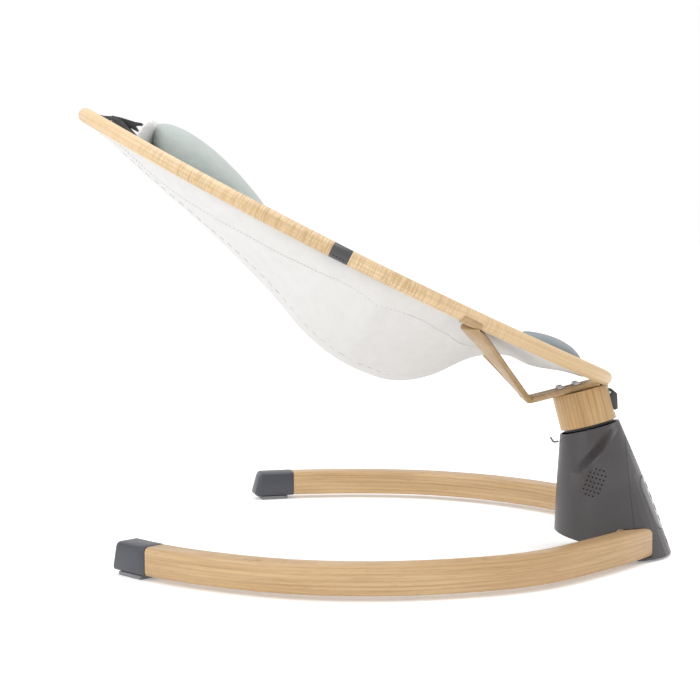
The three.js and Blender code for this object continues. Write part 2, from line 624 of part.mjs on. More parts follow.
const RING_STEPS = 34;
const JOINT_ANGLE = Math.acos(-RING_JOINT);
const SLEEVE_ANGLE = SLEEVE_LENGTH / RING_HALF_LENGTH / 2;
function addRing() {
  const head = [-JOINT_ANGLE + SLEEVE_ANGLE, JOINT_ANGLE - SLEEVE_ANGLE];
  const foot = [JOINT_ANGLE + SLEEVE_ANGLE, 2 * Math.PI - JOINT_ANGLE - SLEEVE_ANGLE];
  const clearance = GAP / RING_HALF_LENGTH;
  const tube = ([from, to]) => cut(
    ringBar(TUBE_R, from + clearance, to - clearance, RING_STEPS),
    ringBar(TUBE_R - TUBE_WALL, from - 0.02, to + 0.02, RING_STEPS, 8));
  addNode(seat, "ring_head_half", tube(head), oakPrint());
  addNode(seat, "ring_foot_half", tube(foot), oakPrint());
  for (const [side, name] of [[1, "left"], [-1, "right"]]) {
    const mid = side > 0 ? JOINT_ANGLE : 2 * Math.PI - JOINT_ANGLE;
    const collar = ringBar(TUBE_R + 0.1, mid - SLEEVE_ANGLE, mid + SLEEVE_ANGLE, 4, 20);
    const spigot = ringBar(TUBE_R - TUBE_WALL - 1.2, mid - 2.6 * SLEEVE_ANGLE,
      mid + 2.6 * SLEEVE_ANGLE, 6, 8);
    addNode(seat, "joint_sleeve_" + name, cut(join(collar, spigot), ...sleeveHoles(mid, side)),
      darkPlastic());
  }
}

// A row of four small drain holes low on the outside of each sleeve.
function sleeveHoles(mid, side) {
  return [-1.5, -0.5, 0.5, 1.5].map((i) => {
    const at = ringPoint(mid + i * SLEEVE_ANGLE * 0.36);
    const down = new THREE.Vector3(0, -side * 0.8, 0)
      .addScaledVector(new THREE.Vector3(...RING_UP), 0.6).normalize();
    const start = at.clone().addScaledVector(down, -TUBE_R - 1);
    return rod(0.8, 4, frameAt(start.toArray(), down.toArray(), RING_ALONG), 8);
  });
}

// ---- Struts -------------------------------------------------------------------------------
const ARM_FOOT_S = [-50, 24]; // span of each strut's lower arm across the neck's top
const SADDLE_WALL = 2;
const SADDLE_ANGLE = 0.036;
// Bolt places on the neck's top: distance along the arm and out from the middle.
const armScrewPlaces = () => [-24, -3].flatMap((s) => [-1, 1].map((side) => [s, side * ARM_Y]));

function strutPath(side) {
  const armLift = NECK_HEIGHT + GAP + STRUT_THICK / 2;
  const armY = side * ARM_Y;
  const angle = Math.acos(-STRUT_PLACE);
  const ring = ringPoint(side > 0 ? angle : 2 * Math.PI - angle);
  const elbow = new THREE.Vector3(...onAxis(armLift, ARM_FOOT_S[0] - STRUT_REACH, armY));
  const under = new THREE.Vector3(...RING_UP).negate();
  const away = elbow.clone().sub(ring).normalize().multiplyScalar(0.35).add(under).normalize();
  const top = ring.clone().addScaledVector(away, TUBE_R + SADDLE_WALL + GAP);
  const end = new THREE.Vector3(...onAxis(armLift, ARM_FOOT_S[1], armY));
  const ringAlong = ringPoint((side > 0 ? angle : 2 * Math.PI - angle) - side * 0.02).sub(ring);
  return { top, elbow, end, ring, ringAlong };
}

function addStrut(side, name) {
  const { top, elbow, end, ringAlong } = strutPath(side);
  const outline = roundedRect(STRUT_WIDE, STRUT_THICK, 2.5, 2);
  const stations = [];
  const bend = 10;
  const toTop = top.clone().sub(elbow).normalize();
  const toEnd = end.clone().sub(elbow).normalize();
  const curve = new THREE.QuadraticBezierCurve3(
    elbow.clone().addScaledVector(toTop, bend), elbow, elbow.clone().addScaledVector(toEnd, bend));
  // The bar lies flat on the neck and twists until its flat side follows the ring's tube.
  const across = new THREE.Vector3(0, 1, 0);
  const ringSide = ringAlong.clone().multiplyScalar(Math.sign(ringAlong.x) * side).normalize();
  for (let i = 0; i < STRUT_TWIST_STEPS; i++) {
    const t = i / STRUT_TWIST_STEPS;
    stations.push([top.clone().lerp(curve.getPoint(0), t), toTop.clone().negate(),
      ringSide.clone().lerp(across, t), lerp(STRUT_FLARE, 1, t)]);
  }
  for (let i = 0; i <= 5; i++) {
    stations.push([curve.getPoint(i / 5), curve.getTangent(i / 5), across, 1]);
  }
  stations.push([end, toEnd, across, 1]);
  const rings = stations.map(([p, along, flat, flare]) => {
    const over = new THREE.Vector3().crossVectors(along, flat).normalize();
    const wide = new THREE.Vector3().crossVectors(over, along).normalize();
    return outline.map(([u, v]) => p.clone().addScaledVector(wide, u * flare)
      .addScaledVector(over, v));
  });
  const places = armScrewPlaces().filter(([, y]) => y * side > 0);
  const holes = places.map(([s, y]) =>
    rod(ARM_HOLE_R + GAP, 20, axisFrame(NECK_HEIGHT - 2, s, y), 12));
  addNode(seat, "strut_" + name,
    largest(cut(loft(rings), ringFoot(TUBE_R + 2 * GAP), saddleBar(side, GAP, 0.1), ...holes)),
    oakPrint());
  addNode(seat, "ring_saddle_" + name, saddle(side), oakPrint());
  places.forEach(([s, y], i) => {
    const under = NECK_HEIGHT + GAP + STRUT_THICK + GAP;
    const shank = rod(ARM_HOLE_R, under - NECK_HEIGHT + 18,
      axisFrame(NECK_HEIGHT - 18 + GAP, s, y), 12);
    const bolt = join(shank, rod(4.6, 3, axisFrame(under, s, y), 16, 3.6));
    addNode(seat, "arm_bolt_" + name + "_" + (i + 1), bolt, steel());
  });
}

function saddleBar(side, grow, longer = 0) {
  const angle = Math.acos(-STRUT_PLACE);
  const mid = side > 0 ? angle : 2 * Math.PI - angle;
  const half = SADDLE_ANGLE + longer;
  return ringBar(TUBE_R + GAP + SADDLE_WALL + grow, mid - half, mid + half, 4);
}

// A half sleeve under the ring that the strut's top end is welded against.
function saddle(side) {
  const angle = Math.acos(-STRUT_PLACE);
  const mid = side > 0 ? angle : 2 * Math.PI - angle;
  const inner = ringBar(TUBE_R + GAP, mid - SADDLE_ANGLE - 0.02, mid + SADDLE_ANGLE + 0.02, 4);
  const { ring } = strutPath(side);
  const lid = boxSolid([90, 90, 60], frameAt(ring.toArray(), RING_UP, RING_ALONG)
    .multiply(new THREE.Matrix4().makeTranslation(0, 0, 27)));
  return largest(cut(saddleBar(side, 0), inner, lid));
}

// ---- Release lever on the neck ------------------------------------------------
const LEVER_TOP_A = NECK_HEIGHT - 8;
const LEVER_POCKET = 9;
const leverPocket = () =>
  boxSolid([LEVER_POCKET * 2, 24, 34], axisFrame(LEVER_TOP_A - 14, NECK_R));
const leverPin = (y) => onAxis(LEVER_TOP_A - 4, NECK_R - LEVER_POCKET + 8, y);
const leverPinFrame = (y) => frameAt(leverPin(y), [0, 1, 0], AXIS);
function addReleaseLever() {
  const s = NECK_R - LEVER_POCKET;
  const plate = boxSolid([2.4, 22, 31], axisFrame(LEVER_TOP_A - 14, s + 1.2 + GAP));
  const ear = (y) => boxSolid([10, 2.4, 9], axisFrame(LEVER_TOP_A - 4, s + 6, y));
  const pinHole = rod(1.8, 30, leverPinFrame(-15), 12);
  addNode(seat, "lever_bracket", cut(join(plate, ear(-9.5), ear(9.5)), pinHole), blackPlastic());
  addNode(seat, "lever_pin",
    rod(1.5, 20, leverPinFrame(-10), 12), steel());
  const profile = new THREE.Shape([[-2, 4], [3.5, 4], [9, -4], [8, -9], [5, -23], [1, -24], [-2, -8]]
    .map(([x, y]) => new THREE.Vector2(x, y)));
  const geometry = new THREE.ExtrudeGeometry(profile, { depth: 15, bevelEnabled: false });
  geometry.applyMatrix4(new THREE.Matrix4().makeBasis(
    new THREE.Vector3(...ACROSS), new THREE.Vector3(...AXIS), new THREE.Vector3(0, -1, 0))
    .setPosition(...leverPin(7.5)));
  addNode(seat, "release_lever", cut(toSolid(geometry), pinHole), darkPlastic());
}

// ---- Head clip ------------------------------------------------------------------------------
const CLIP_WIDE = 34;
function addHeadClip() {
  const u = (mm) => -1 + mm / RING_HALF_LENGTH;
  const place = (mm, lift) => ringPlane(u(mm), 0, lift);
  const strip = (points, wide) => {
    const shape = new THREE.Shape(points.map(([x, y]) => new THREE.Vector2(x, y)));
    const geometry = new THREE.ExtrudeGeometry(shape, { depth: wide, bevelEnabled: false });
    const origin = place(0, 0);
    return toSolid(geometry.applyMatrix4(new THREE.Matrix4().makeBasis(
      new THREE.Vector3(...RING_ALONG), new THREE.Vector3(...RING_UP), new THREE.Vector3(0, -1, 0))
      .setPosition(origin.x, wide / 2, origin.z)));
  };
  const saddle = strip([[7, -7.5], [26, -3], [84, -4], [86, -1], [70, 5], [44, 15], [32, 15.5],
    [20, 10], [7, 7.5]], CLIP_WIDE);
  const slot = strip([[22, 26], [90, 26], [90, 7.6], [24, 7.6]], 14);
  const tubeHole = ringBar(TUBE_R + 3 * GAP, -0.4, 0.4, 24, 20);
  const pinAt = place(31, 11);
  const pinFrame = (y) => frameAt([pinAt.x, y, pinAt.z], [0, 1, 0], RING_ALONG);
  const pinHole = rod(1.8, 60, pinFrame(-30), 12);
  addNode(seat, "head_bracket", largest(cut(saddle, slot, tubeHole, pinHole)), darkPlastic());
  addNode(seat, "clip_pin", rod(1.5, 26, pinFrame(-13), 12), steel());
  const lever = strip([[27, 15.5], [40, 18.6], [58, 21.5], [66, 24], [70, 22], [64, 20],
    [59, 17.5], [66, 13.5], [64, 11.5], [55, 11.8], [47, 11], [36, 9.6], [29, 9]], 13);
  addNode(seat, "head_clip", cut(lever, pinHole), blackPlastic());
}

// ---- Soft parts -----------------------------------------------------------------------------
// Depth of the sling below the ring's middle plane, along its length from u = -1 to 1.
const SLING_DEPTH = new THREE.SplineCurve([
  [-0.955, 6], [-0.85, 12], [-0.72, 23.5], [-0.6, 33.5], [-0.48, 43], [-0.36, 55],
  [-0.24, 69], [-0.12, 85], [0, 104.5], [0.12, 116], [0.24, 118.5], [0.36, 111], [0.46, 86],
  [0.56, 42], [0.66, 21], [0.76, 19.5], [0.86, 10], [0.94, 6],
].map(([u, d]) => new THREE.Vector2(u, d)));

function slingDepth(u) {
  let low = 0;
  let high = 1;
  for (let i = 0; i < 24; i++) {
    const t = (low + high) / 2;
    if (SLING_DEPTH.getPoint(t).x < u) low = t;
    else high = t;
  }
  return SLING_DEPTH.getPoint(low).y;
}

const SLING_FROM = -0.945;
const SLING_TO = 0.93;
// One cross row of the sling, `raise` above its underside and `trim` in from its edges.
function slingRow(u, raise, trim, across) {
  const edge = ringWidthAt(u, TUBE_R + SLING_INSET + trim);
  const depth = Math.max(6, slingDepth(u) - raise);
  const foot = Math.min(1, Math.max(0, (u - 0.2) / 0.25)); // the sling clears the struts at its foot
  const [power, round] = [lerp(2.4, 1.8, foot), lerp(0.75, 1.6, foot)];
  return Array.from({ length: across + 1 }, (_, j) => {
    const k = 2 * j / across - 1;
    const s = Math.sin(k * Math.PI / 2);
    const hang = Math.pow(Math.max(0, 1 - Math.pow(Math.abs(s), power)), round);
    return ringPlane(u, edge * s, -depth * hang - 2);
  });
}

// A bowl-shaped sheet between two heights over the sling's underside.
function slingSheet(low, high, trim, from, to, long = 18, across = 14) {
  const rows = (raise, inset) => Array.from({ length: long + 1 }, (_, i) =>
    slingRow(lerp(from, to, i / long), raise, inset, across));
  const under = rows(low, trim);
  const over = rows(high, trim + 0.6).map((row) =>
    row.map((p) => p.clone().addScaledVector(new THREE.Vector3(...RING_UP), 1.2)));
  return loft(under.map((row, i) => row.concat(over[i].slice().reverse())));
}

// A pillow on the sling: an ellipsoid-like body between two places along the ring.
function pillow(from, to, halfWide, lowLift, crown, long = 12, around = 20) {
  const rings = [];
  for (let i = 0; i <= long; i++) {
    const t = i / long;
    const u = lerp(from, to, t);
    const full = Math.pow(Math.max(0.02, Math.sin(Math.PI * lerp(0.03, 0.97, t))), 0.45);
    const [low, high] = [lowLift(t), crown(t)];
    rings.push(Array.from({ length: around }, (_, j) => {
      const a = 2 * Math.PI * j / around;
      const cy = Math.sign(Math.cos(a)) * Math.pow(Math.abs(Math.cos(a)), 0.8);
      const cz = Math.sign(Math.sin(a)) * Math.pow(Math.abs(Math.sin(a)), 0.8);
      return ringPlane(u, halfWide * full * cy, (low + high) / 2 + (high - low) / 2 * full * cz);
    }));
  }
  return loft(rings);
}

const PAD_THICK = 9;
const PAD_LIFT = 6;
const PAD_TRIM = 18;
const STRAP_WIDE = 25;
const STRAP_THICK = 2;
const STRAP_LIFT = 11;
const BUCKLE_PLACE = 0.2; // along the ring
const BUCKLE_SIZE = [52, 46, 14];

// A point over the seat pad, `s` from -1 to 1 across it, `lift` above its top.
function overPad(u, s, lift) {
  const row = slingRow(u, SLING_WALL + PAD_LIFT + PAD_THICK, PAD_TRIM, 40);
  const p = row[Math.round((s + 1) * 20)];
  return p.clone().addScaledVector(new THREE.Vector3(...RING_UP), 1.2 + lift);
}

// A flat strap laid through points, its width along `across`.
function strap(points, across) {
  const wide = new THREE.Vector3(...across);
  const over = new THREE.Vector3(...RING_UP);
  return loft(points.map((p) => [[-1, 0], [1, 0], [1, 1], [-1, 1]].map(([a, b]) =>
    p.clone().addScaledVector(wide, a * STRAP_WIDE / 2).addScaledVector(over, b * STRAP_THICK))));
}

function addHarness() {
  const middle = overPad(BUCKLE_PLACE, 0, STRAP_LIFT + BUCKLE_SIZE[2] / 2);
  const raised = (up) => middle.clone().addScaledVector(new THREE.Vector3(...RING_UP), up);
  const place = (up) => frameAt(raised(up).toArray(), RING_UP, RING_ALONG);
  const well = rod(9.4, 10, place(BUCKLE_SIZE[2] / 2 - 5), 24);
  const outline = new THREE.Shape(roundedRect(BUCKLE_SIZE[0], BUCKLE_SIZE[1], 10, 3)
    .map(([u, v]) => new THREE.Vector2(u, v)));
  const block = new THREE.ExtrudeGeometry(outline, { depth: BUCKLE_SIZE[2], bevelEnabled: false });
  const body = toSolid(block.applyMatrix4(place(-BUCKLE_SIZE[2] / 2)));
  addNode(seat, "harness_buckle", cut(body, well), darkPlastic());
  addNode(seat, "buckle_button", rod(9, 5, place(BUCKLE_SIZE[2] / 2 - 2.2), 24), sageCloth());
  for (const [side, name] of [[-1, "right"], [1, "left"]]) {
    const points = [0.2, 0.3, 0.4, 0.5, 0.6, 0.7, 0.8].map((s) =>
      overPad(BUCKLE_PLACE, side * s, STRAP_LIFT));
    addNode(seat, "waist_strap_" + name, strap(points, RING_ALONG), sageCloth());
  }
  const far = BUCKLE_PLACE + (BUCKLE_SIZE[0] / 2 + 2) / RING_HALF_LENGTH;
  const line = [far, far + 0.06, far + 0.12].map((u) => overPad(u, 0, STRAP_LIFT));
  addNode(seat, "crotch_strap", strap(line, [0, 1, 0]), sageCloth());
}

function addSoftParts() {
  addNode(seat, "sling", slingSheet(0, SLING_WALL, 0, SLING_FROM, SLING_TO), whiteCloth());
  addNode(seat, "seat_pad",
    slingSheet(SLING_WALL + PAD_LIFT, SLING_WALL + PAD_LIFT + PAD_THICK, PAD_TRIM,
      -0.8, 0.6, 14, 12), whiteCloth());
  addNode(seat, "headrest_cushion",
    pillow(-0.78, -0.285, 88, (t) => -6 - 22 * Math.pow(t, 1.3),
      (t) => lerp(61, 12, Math.pow(t, 1.25))), sageCloth());
  addNode(seat, "foot_cushion",
    pillow(0.66, 0.92, 96, () => -6, (t) => 14 + 8 * Math.sin(Math.PI * t), 8), blueCloth());
}

// ---- Assembly -------------------------------------------------------------------------------
addLeg(-1, "right");
addLeg(1, "left");
addLegBolts(-1, "right");
addLegBolts(1, "left");
addFloorPlate();
addTowerShells();
addControls();
addFrame();
addMotor();
addSpeaker();
addLockHook();
addCrank();
addNeck();
addSwingLever();
addRing();
addStrut(-1, "right");
addStrut(1, "left");
addReleaseLever();
addHeadClip();
addSoftParts();
addHarness();

seat.applyMatrix4(turnedAbout(SWING_REST));

// The part's origin is under the middle of its box, on the floor.
root.updateMatrixWorld(true);
root.position.x = -new THREE.Box3().setFromObject(root, true).getCenter(new THREE.Vector3()).x;

export default root;
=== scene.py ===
"""Looks of the bouncer seat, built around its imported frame. Metres, +Z up, +X towards the tower."""

import json
import math

import bpy
from mathutils import Matrix, Vector


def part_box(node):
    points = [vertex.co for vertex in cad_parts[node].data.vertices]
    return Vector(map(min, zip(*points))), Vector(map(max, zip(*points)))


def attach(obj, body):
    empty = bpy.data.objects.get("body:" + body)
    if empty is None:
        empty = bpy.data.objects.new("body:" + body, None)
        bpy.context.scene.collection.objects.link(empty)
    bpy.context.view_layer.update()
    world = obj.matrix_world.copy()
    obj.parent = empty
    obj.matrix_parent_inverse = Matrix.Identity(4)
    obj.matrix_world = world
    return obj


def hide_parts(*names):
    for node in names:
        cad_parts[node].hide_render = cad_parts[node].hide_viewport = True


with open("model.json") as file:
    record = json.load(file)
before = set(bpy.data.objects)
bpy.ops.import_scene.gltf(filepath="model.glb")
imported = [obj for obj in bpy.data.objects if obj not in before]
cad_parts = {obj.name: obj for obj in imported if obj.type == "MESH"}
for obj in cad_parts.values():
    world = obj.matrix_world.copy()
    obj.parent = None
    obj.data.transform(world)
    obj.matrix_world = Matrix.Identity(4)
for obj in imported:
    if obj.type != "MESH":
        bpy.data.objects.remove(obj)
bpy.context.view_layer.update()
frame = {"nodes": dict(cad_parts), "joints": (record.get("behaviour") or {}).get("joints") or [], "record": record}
nodes = frame["nodes"]
body_of_node = {n: b for b, ns in frame["record"]["behaviour"]["bodies"].items() for n in ns}
slot_of_node = {s["node"]: s["material_slot"] for s in frame["record"]["subparts"]}

# ---- Driving dimensions -------------------------------------------------------------------
MM = 0.001
SWING_REST = math.radians(12)  # the seat stands swung by this much
RING_HEIGHT = 391.6 * MM
RING_BEHIND_NECK = 316 * MM
RING_HALF_LENGTH = 373.4 * MM
RING_HALF_WIDTH = 203.5 * MM
RING_SAG = 12.4 * MM
RING_FULLNESS = 0.87
RING_RECLINE = math.radians(26.4)
RING_JOINT = 0.03  # place of the dark sleeves along the ring, 0 at its middle
SLEEVE_LENGTH = 24 * MM
TUBE_R = 9.3 * MM
NECK_TILT = math.radians(15)
STRUT_LEAN = 0.6  # radians, the middle way between a strut's two arms

SLING_WALL = 2 * MM
SLING_EDGE = 10.8 * MM  # from the ring's centreline to the sling's edge
SLING_FROM, SLING_TO = -0.945, 0.93
# Depth of the sling below the ring, in mm, from the head (-1) to the foot (1).
SLING_DEPTH = [
    (-0.955, 6), (-0.85, 12), (-0.72, 23.5), (-0.6, 33.5), (-0.48, 43), (-0.36, 55),
    (-0.24, 69), (-0.12, 85), (0, 104.5), (0.12, 116), (0.24, 118.5), (0.36, 111),
    (0.46, 86), (0.56, 42), (0.66, 21), (0.76, 19.5), (0.86, 10), (0.94, 6),
]
# Seams of the sling as (place along the ring, place across from the middle to the edge).
SIDE_SEAM = [
    (-0.80, 0.70), (-0.672, 0.55), (-0.56, 0.52), (-0.474, 0.55), (-0.285, 0.654), (-0.154, 0.70),
    (-0.031, 0.755), (0.129, 0.785), (0.318, 0.673), (0.412, 0.56), (0.553, 0.34),
]
BOTTOM_SEAM = [
    (-0.80, 0.40), (-0.634, 0.37), (-0.464, 0.32), (-0.285, 0.36), (-0.088, 0.34), (0.045, 0.30),
    (0.195, 0.275), (0.336, 0.177), (0.412, 0.155), (0.459, 0.2), (0.506, 0.30), (0.553, 0.32),
]

# The leg's centreline as (behind the neck's axis, across), in mm, from its open end.
LEG_LINE = [
    (-537, 264), (-480, 296), (-401, 325), (-301, 341), (-209, 329), (-118, 291), (-39, 232),
    (33, 122), (71, 44),
]

# The crease down the tower's side, by the height and the place along the base of its lower end
# and by how fast it goes along as it rises.
CREASE_LOW = 0.108
CREASE_FOOT_X = 0.262
CREASE_REACH = 0.6

swing = next(j for j in frame["joints"] if j["name"] == "seat_swing")
swing_point = Vector(swing["pos_m"])
swing_axis = Vector(swing["axis"])
RING_CENTRE = Vector((swing_point.x - RING_BEHIND_NECK, 0, RING_HEIGHT))
SWUNG = (Matrix.Translation(swing_point) @ Matrix.Rotation(SWING_REST, 4, swing_axis)
         @ Matrix.Translation(-swing_point))
RING_ALONG = Vector((math.cos(RING_RECLINE), 0, -math.sin(RING_RECLINE)))
RING_UP = Vector((math.sin(RING_RECLINE), 0, math.cos(RING_RECLINE)))
SWUNG_UP = SWUNG.to_3x3() @ RING_UP


# ---- The seat's own shapes ----------------------------------------------------------------
def spline_through(points, t):
    """The point at t (0 to 1) on a smooth curve through points."""
    place = t * (len(points) - 1)
    i = min(int(place), len(points) - 2)
    w = place - i
    p0, p1, p2, p3 = (Vector(points[min(max(j, 0), len(points) - 1)]) for j in range(i - 1, i + 3))
    v0, v1 = (p2 - p0) / 2, (p3 - p1) / 2
    return (2 * p1 - 2 * p2 + v0 + v1) * w ** 3 + (3 * p2 - 3 * p1 - 2 * v0 - v1) * w * w + v0 * w + p1


def on_spline(points, x):
    """The second value of the curve through points where its first value is x."""
    low, high = 0.0, 1.0
    for _ in range(22):
        middle = (low + high) / 2
        low, high = (middle, high) if spline_through(points, middle)[0] < x else (low, middle)
    return spline_through(points, low)[1]


def ring_place(u, y, lift=0.0):
    """A point over the ring's middle plane, u from -1 at the head to 1 at the foot."""
    bow = lift - RING_SAG * (1 - u * u)
    return RING_CENTRE + RING_ALONG * (u * RING_HALF_LENGTH) + RING_UP * bow + Vector((0, y, 0))


def ring_width(u, inset=0.0):
    """Half the ring's width at u, for an outline drawn in by inset."""
    v = u / (1 - inset / RING_HALF_LENGTH)
    return (RING_HALF_WIDTH - inset) * max(0.0, 1 - v * v) ** (RING_FULLNESS / 2)


def ring_point(angle):
    """A point of the ring's centreline, from 0 at the head through +Y to pi at the foot."""
    u = -math.cos(angle)
    return SWUNG @ ring_place(u, math.copysign(ring_width(u), math.sin(angle)))


def sling_place(u, k, lift=0.0, trim=0.0, depth=None):
    """A point on the sling's underside, raised by lift; k runs from -1 to 1 across it."""
    edge = ring_width(u, SLING_EDGE + trim)
    deep = (on_spline(SLING_DEPTH, u) if depth is None else depth) * MM
    foot = min(1.0, max(0.0, (u - 0.2) / 0.25))
    power, roundness = 2.4 - 0.6 * foot, 0.75 + 0.85 * foot
    s = math.sin(k * math.pi / 2)
    hang = max(0.0, 1 - abs(s) ** power) ** roundness
    return SWUNG @ ring_place(u, edge * s, -max(6 * MM, deep - lift) * hang - 2 * MM)


# ---- Working helpers ----------------------------------------------------------------------
def only(piece):
    """Selects one piece and nothing else."""
    if bpy.context.mode != "OBJECT":
        bpy.ops.object.mode_set(mode="OBJECT")
    bpy.ops.object.select_all(action="DESELECT")
    piece.select_set(True)
    bpy.context.view_layer.objects.active = piece
    return piece


def apply_modifier(piece, kind, **settings):
    """Adds a modifier and makes its result the piece's own mesh."""
    only(piece)
    modifier = piece.modifiers.new(kind.lower(), kind)
    for name, value in settings.items():
        setattr(modifier, name, value)
    bpy.ops.object.modifier_apply(modifier=modifier.name)


def new_mesh(name, points, faces):
    mesh = bpy.data.meshes.new(name)
    mesh.from_pydata([tuple(p) for p in points], [], faces)
    piece = bpy.data.objects.new(name, mesh)
    bpy.context.scene.collection.objects.link(piece)
    return piece


def face_outwards(piece):
    """Turns every face of a closed piece outwards."""
    only(piece)
    bpy.ops.object.mode_set(mode="EDIT")
    bpy.ops.mesh.select_all(action="SELECT")
    bpy.ops.mesh.normals_make_consistent(inside=False)
    bpy.ops.object.mode_set(mode="OBJECT")


def finish_piece(piece, body, material, replaced=()):
    """Gives a piece its finish, the body that it rides on and the nodes that it stands for."""
    piece.data.materials.clear()
    piece.data.materials.append(material)
    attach(piece, body)
    if replaced:
        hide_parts(*replaced)
    return piece


def refined(node, material, bevel=0.0, segments=2, angle=32, subdivide=0):
    """A copy of a CAD node with merged, softened edges, which stands for that node."""
    piece = bpy.data.objects.new(node + "_finished", nodes[node].data.copy())
    bpy.context.scene.collection.objects.link(piece)
    only(piece)
    bpy.ops.object.mode_set(mode="EDIT")
    bpy.ops.mesh.select_all(action="SELECT")
    bpy.ops.mesh.remove_doubles(threshold=0.01 * MM)
    bpy.ops.mesh.dissolve_limited(angle_limit=math.radians(0.6))
    bpy.ops.object.mode_set(mode="OBJECT")
    if bevel:
        apply_modifier(piece, "BEVEL", width=bevel, segments=segments, limit_method="ANGLE",
                       angle_limit=math.radians(angle), harden_normals=False)
    if subdivide:
        apply_modifier(piece, "SUBSURF", levels=subdivide, render_levels=subdivide)
    only(piece)
    bpy.ops.object.shade_smooth_by_angle(angle=math.radians(angle))
    finish_piece(piece, body_of_node[node], material, [node])
    return piece


def swept_tube(name, points, radius, sides=20, closed=False, flat=1.0, up=None):
    """A round tube along points, with its straightened coordinates kept for its grain."""
    up = up or Vector((0, 0, 1))
    count = len(points)
    rings, straight = [], []
    travelled = 0.0
    for i, p in enumerate(points):
        if i:
            travelled += (p - points[i - 1]).length
        before = points[i - 1] if i or closed else p
        after = points[(i + 1) % count] if i < count - 1 or closed else p
        along = (after - before).normalized()
        out = along.cross(up).normalized()
        over = out.cross(along).normalized()
        for j in range(sides):
            a = 2 * math.pi * j / sides
            x, y = radius * math.cos(a), radius * flat * math.sin(a)
            rings.append(p + out * x + over * y)
            straight.append((travelled, x, y))
    faces = []
    for i in range(count if closed else count - 1):
        for j in range(sides):
            a, b = i * sides, ((i + 1) % count) * sides
            faces.append((a + j, a + (j + 1) % sides, b + (j + 1) % sides, b + j))
    if not closed:
        faces.append(tuple(reversed(range(sides))))
        faces.append(tuple(range((count - 1) * sides, count * sides)))
    tube = new_mesh(name, rings, faces)
    keep_grain(tube, straight)
    face_outwards(tube)
    bpy.ops.object.shade_smooth_by_angle(angle=math.radians(50))
    return tube


def keep_grain(piece, straight):
    """Stores each point's place in the straightened piece, which its grain follows."""
    attribute = piece.data.attributes.new("grain", "FLOAT_VECTOR", "POINT")
    attribute.data.foreach_set("vector", [c for p in straight for c in p])


# ---- Finishes -----------------------------------------------------------------------------
def add_node(tree, kind, settings=None, **sockets):
    """A shader node with its settings made and its named sockets set or linked."""
    made = tree.nodes.new("ShaderNode" + kind)
    for name, value in (settings or {}).items():
        setattr(made, name, value)
    for name, value in sockets.items():
        plug(tree, value, made.inputs[name.replace("_", " ")])
    return made


def plug(tree, value, socket):
    """Links a socket's source to it, or sets its value."""
    if isinstance(value, bpy.types.NodeSocket):
        tree.links.new(value, socket)
    else:
        socket.default_value = value


def mixed(tree, share, first, second, blend="MIX"):
    """One colour blended into another."""
    made = tree.nodes.new("ShaderNodeMix")
    made.data_type = "RGBA"
    made.blend_type = blend
    plug(tree, share, made.inputs[0])
    plug(tree, first, made.inputs[6])
    plug(tree, second, made.inputs[7])
    return made.outputs[2]


def maths(tree, operation, *values):
    """One sum on values or sockets."""
    made = tree.nodes.new("ShaderNodeMath")
    made.operation = operation
    for i, value in enumerate(values):
        plug(tree, value, made.inputs[i])
    return made.outputs[0]


def scaled_vector(tree, vector, scale):
    """A place stretched by its own factor along each axis."""
    made = tree.nodes.new("ShaderNodeVectorMath")
    made.operation = "MULTIPLY"
    plug(tree, vector, made.inputs[0])
    made.inputs[1].default_value = scale
    return made.outputs[0]


def ranged(tree, value, low, high, to_low=0.0, to_high=1.0):
    """A value eased from one range into another."""
    made = add_node(tree, "MapRange", {"clamp": True, "interpolation_type": "SMOOTHSTEP"})
    plug(tree, value, made.inputs["Value"])
    made.inputs["From Min"].default_value = low
    made.inputs["From Max"].default_value = high
    made.inputs["To Min"].default_value = to_low
    made.inputs["To Max"].default_value = to_high
    return made.outputs["Result"]


def noise(tree, vector, scale, detail=4.0, roughness=0.5, distortion=0.0):
    made = add_node(tree, "TexNoise", Vector=vector, Scale=scale, Detail=detail,
                    Roughness=roughness, Distortion=distortion)
    return made.outputs["Fac"]


def start_group(name, inputs, outputs):
    """An empty node group with named sockets, given as {name: (socket kind, default)}."""
    tree = bpy.data.node_groups.new(name, "ShaderNodeTree")
    for label, (kind, value) in inputs.items():
        socket = tree.interface.new_socket(label, in_out="INPUT", socket_type="NodeSocket" + kind)
        if value is not None:
            socket.default_value = value
    for label, kind in outputs.items():
        tree.interface.new_socket(label, in_out="OUTPUT", socket_type="NodeSocket" + kind)
    return tree, tree.nodes.new("NodeGroupInput").outputs, tree.nodes.new("NodeGroupOutput").inputs


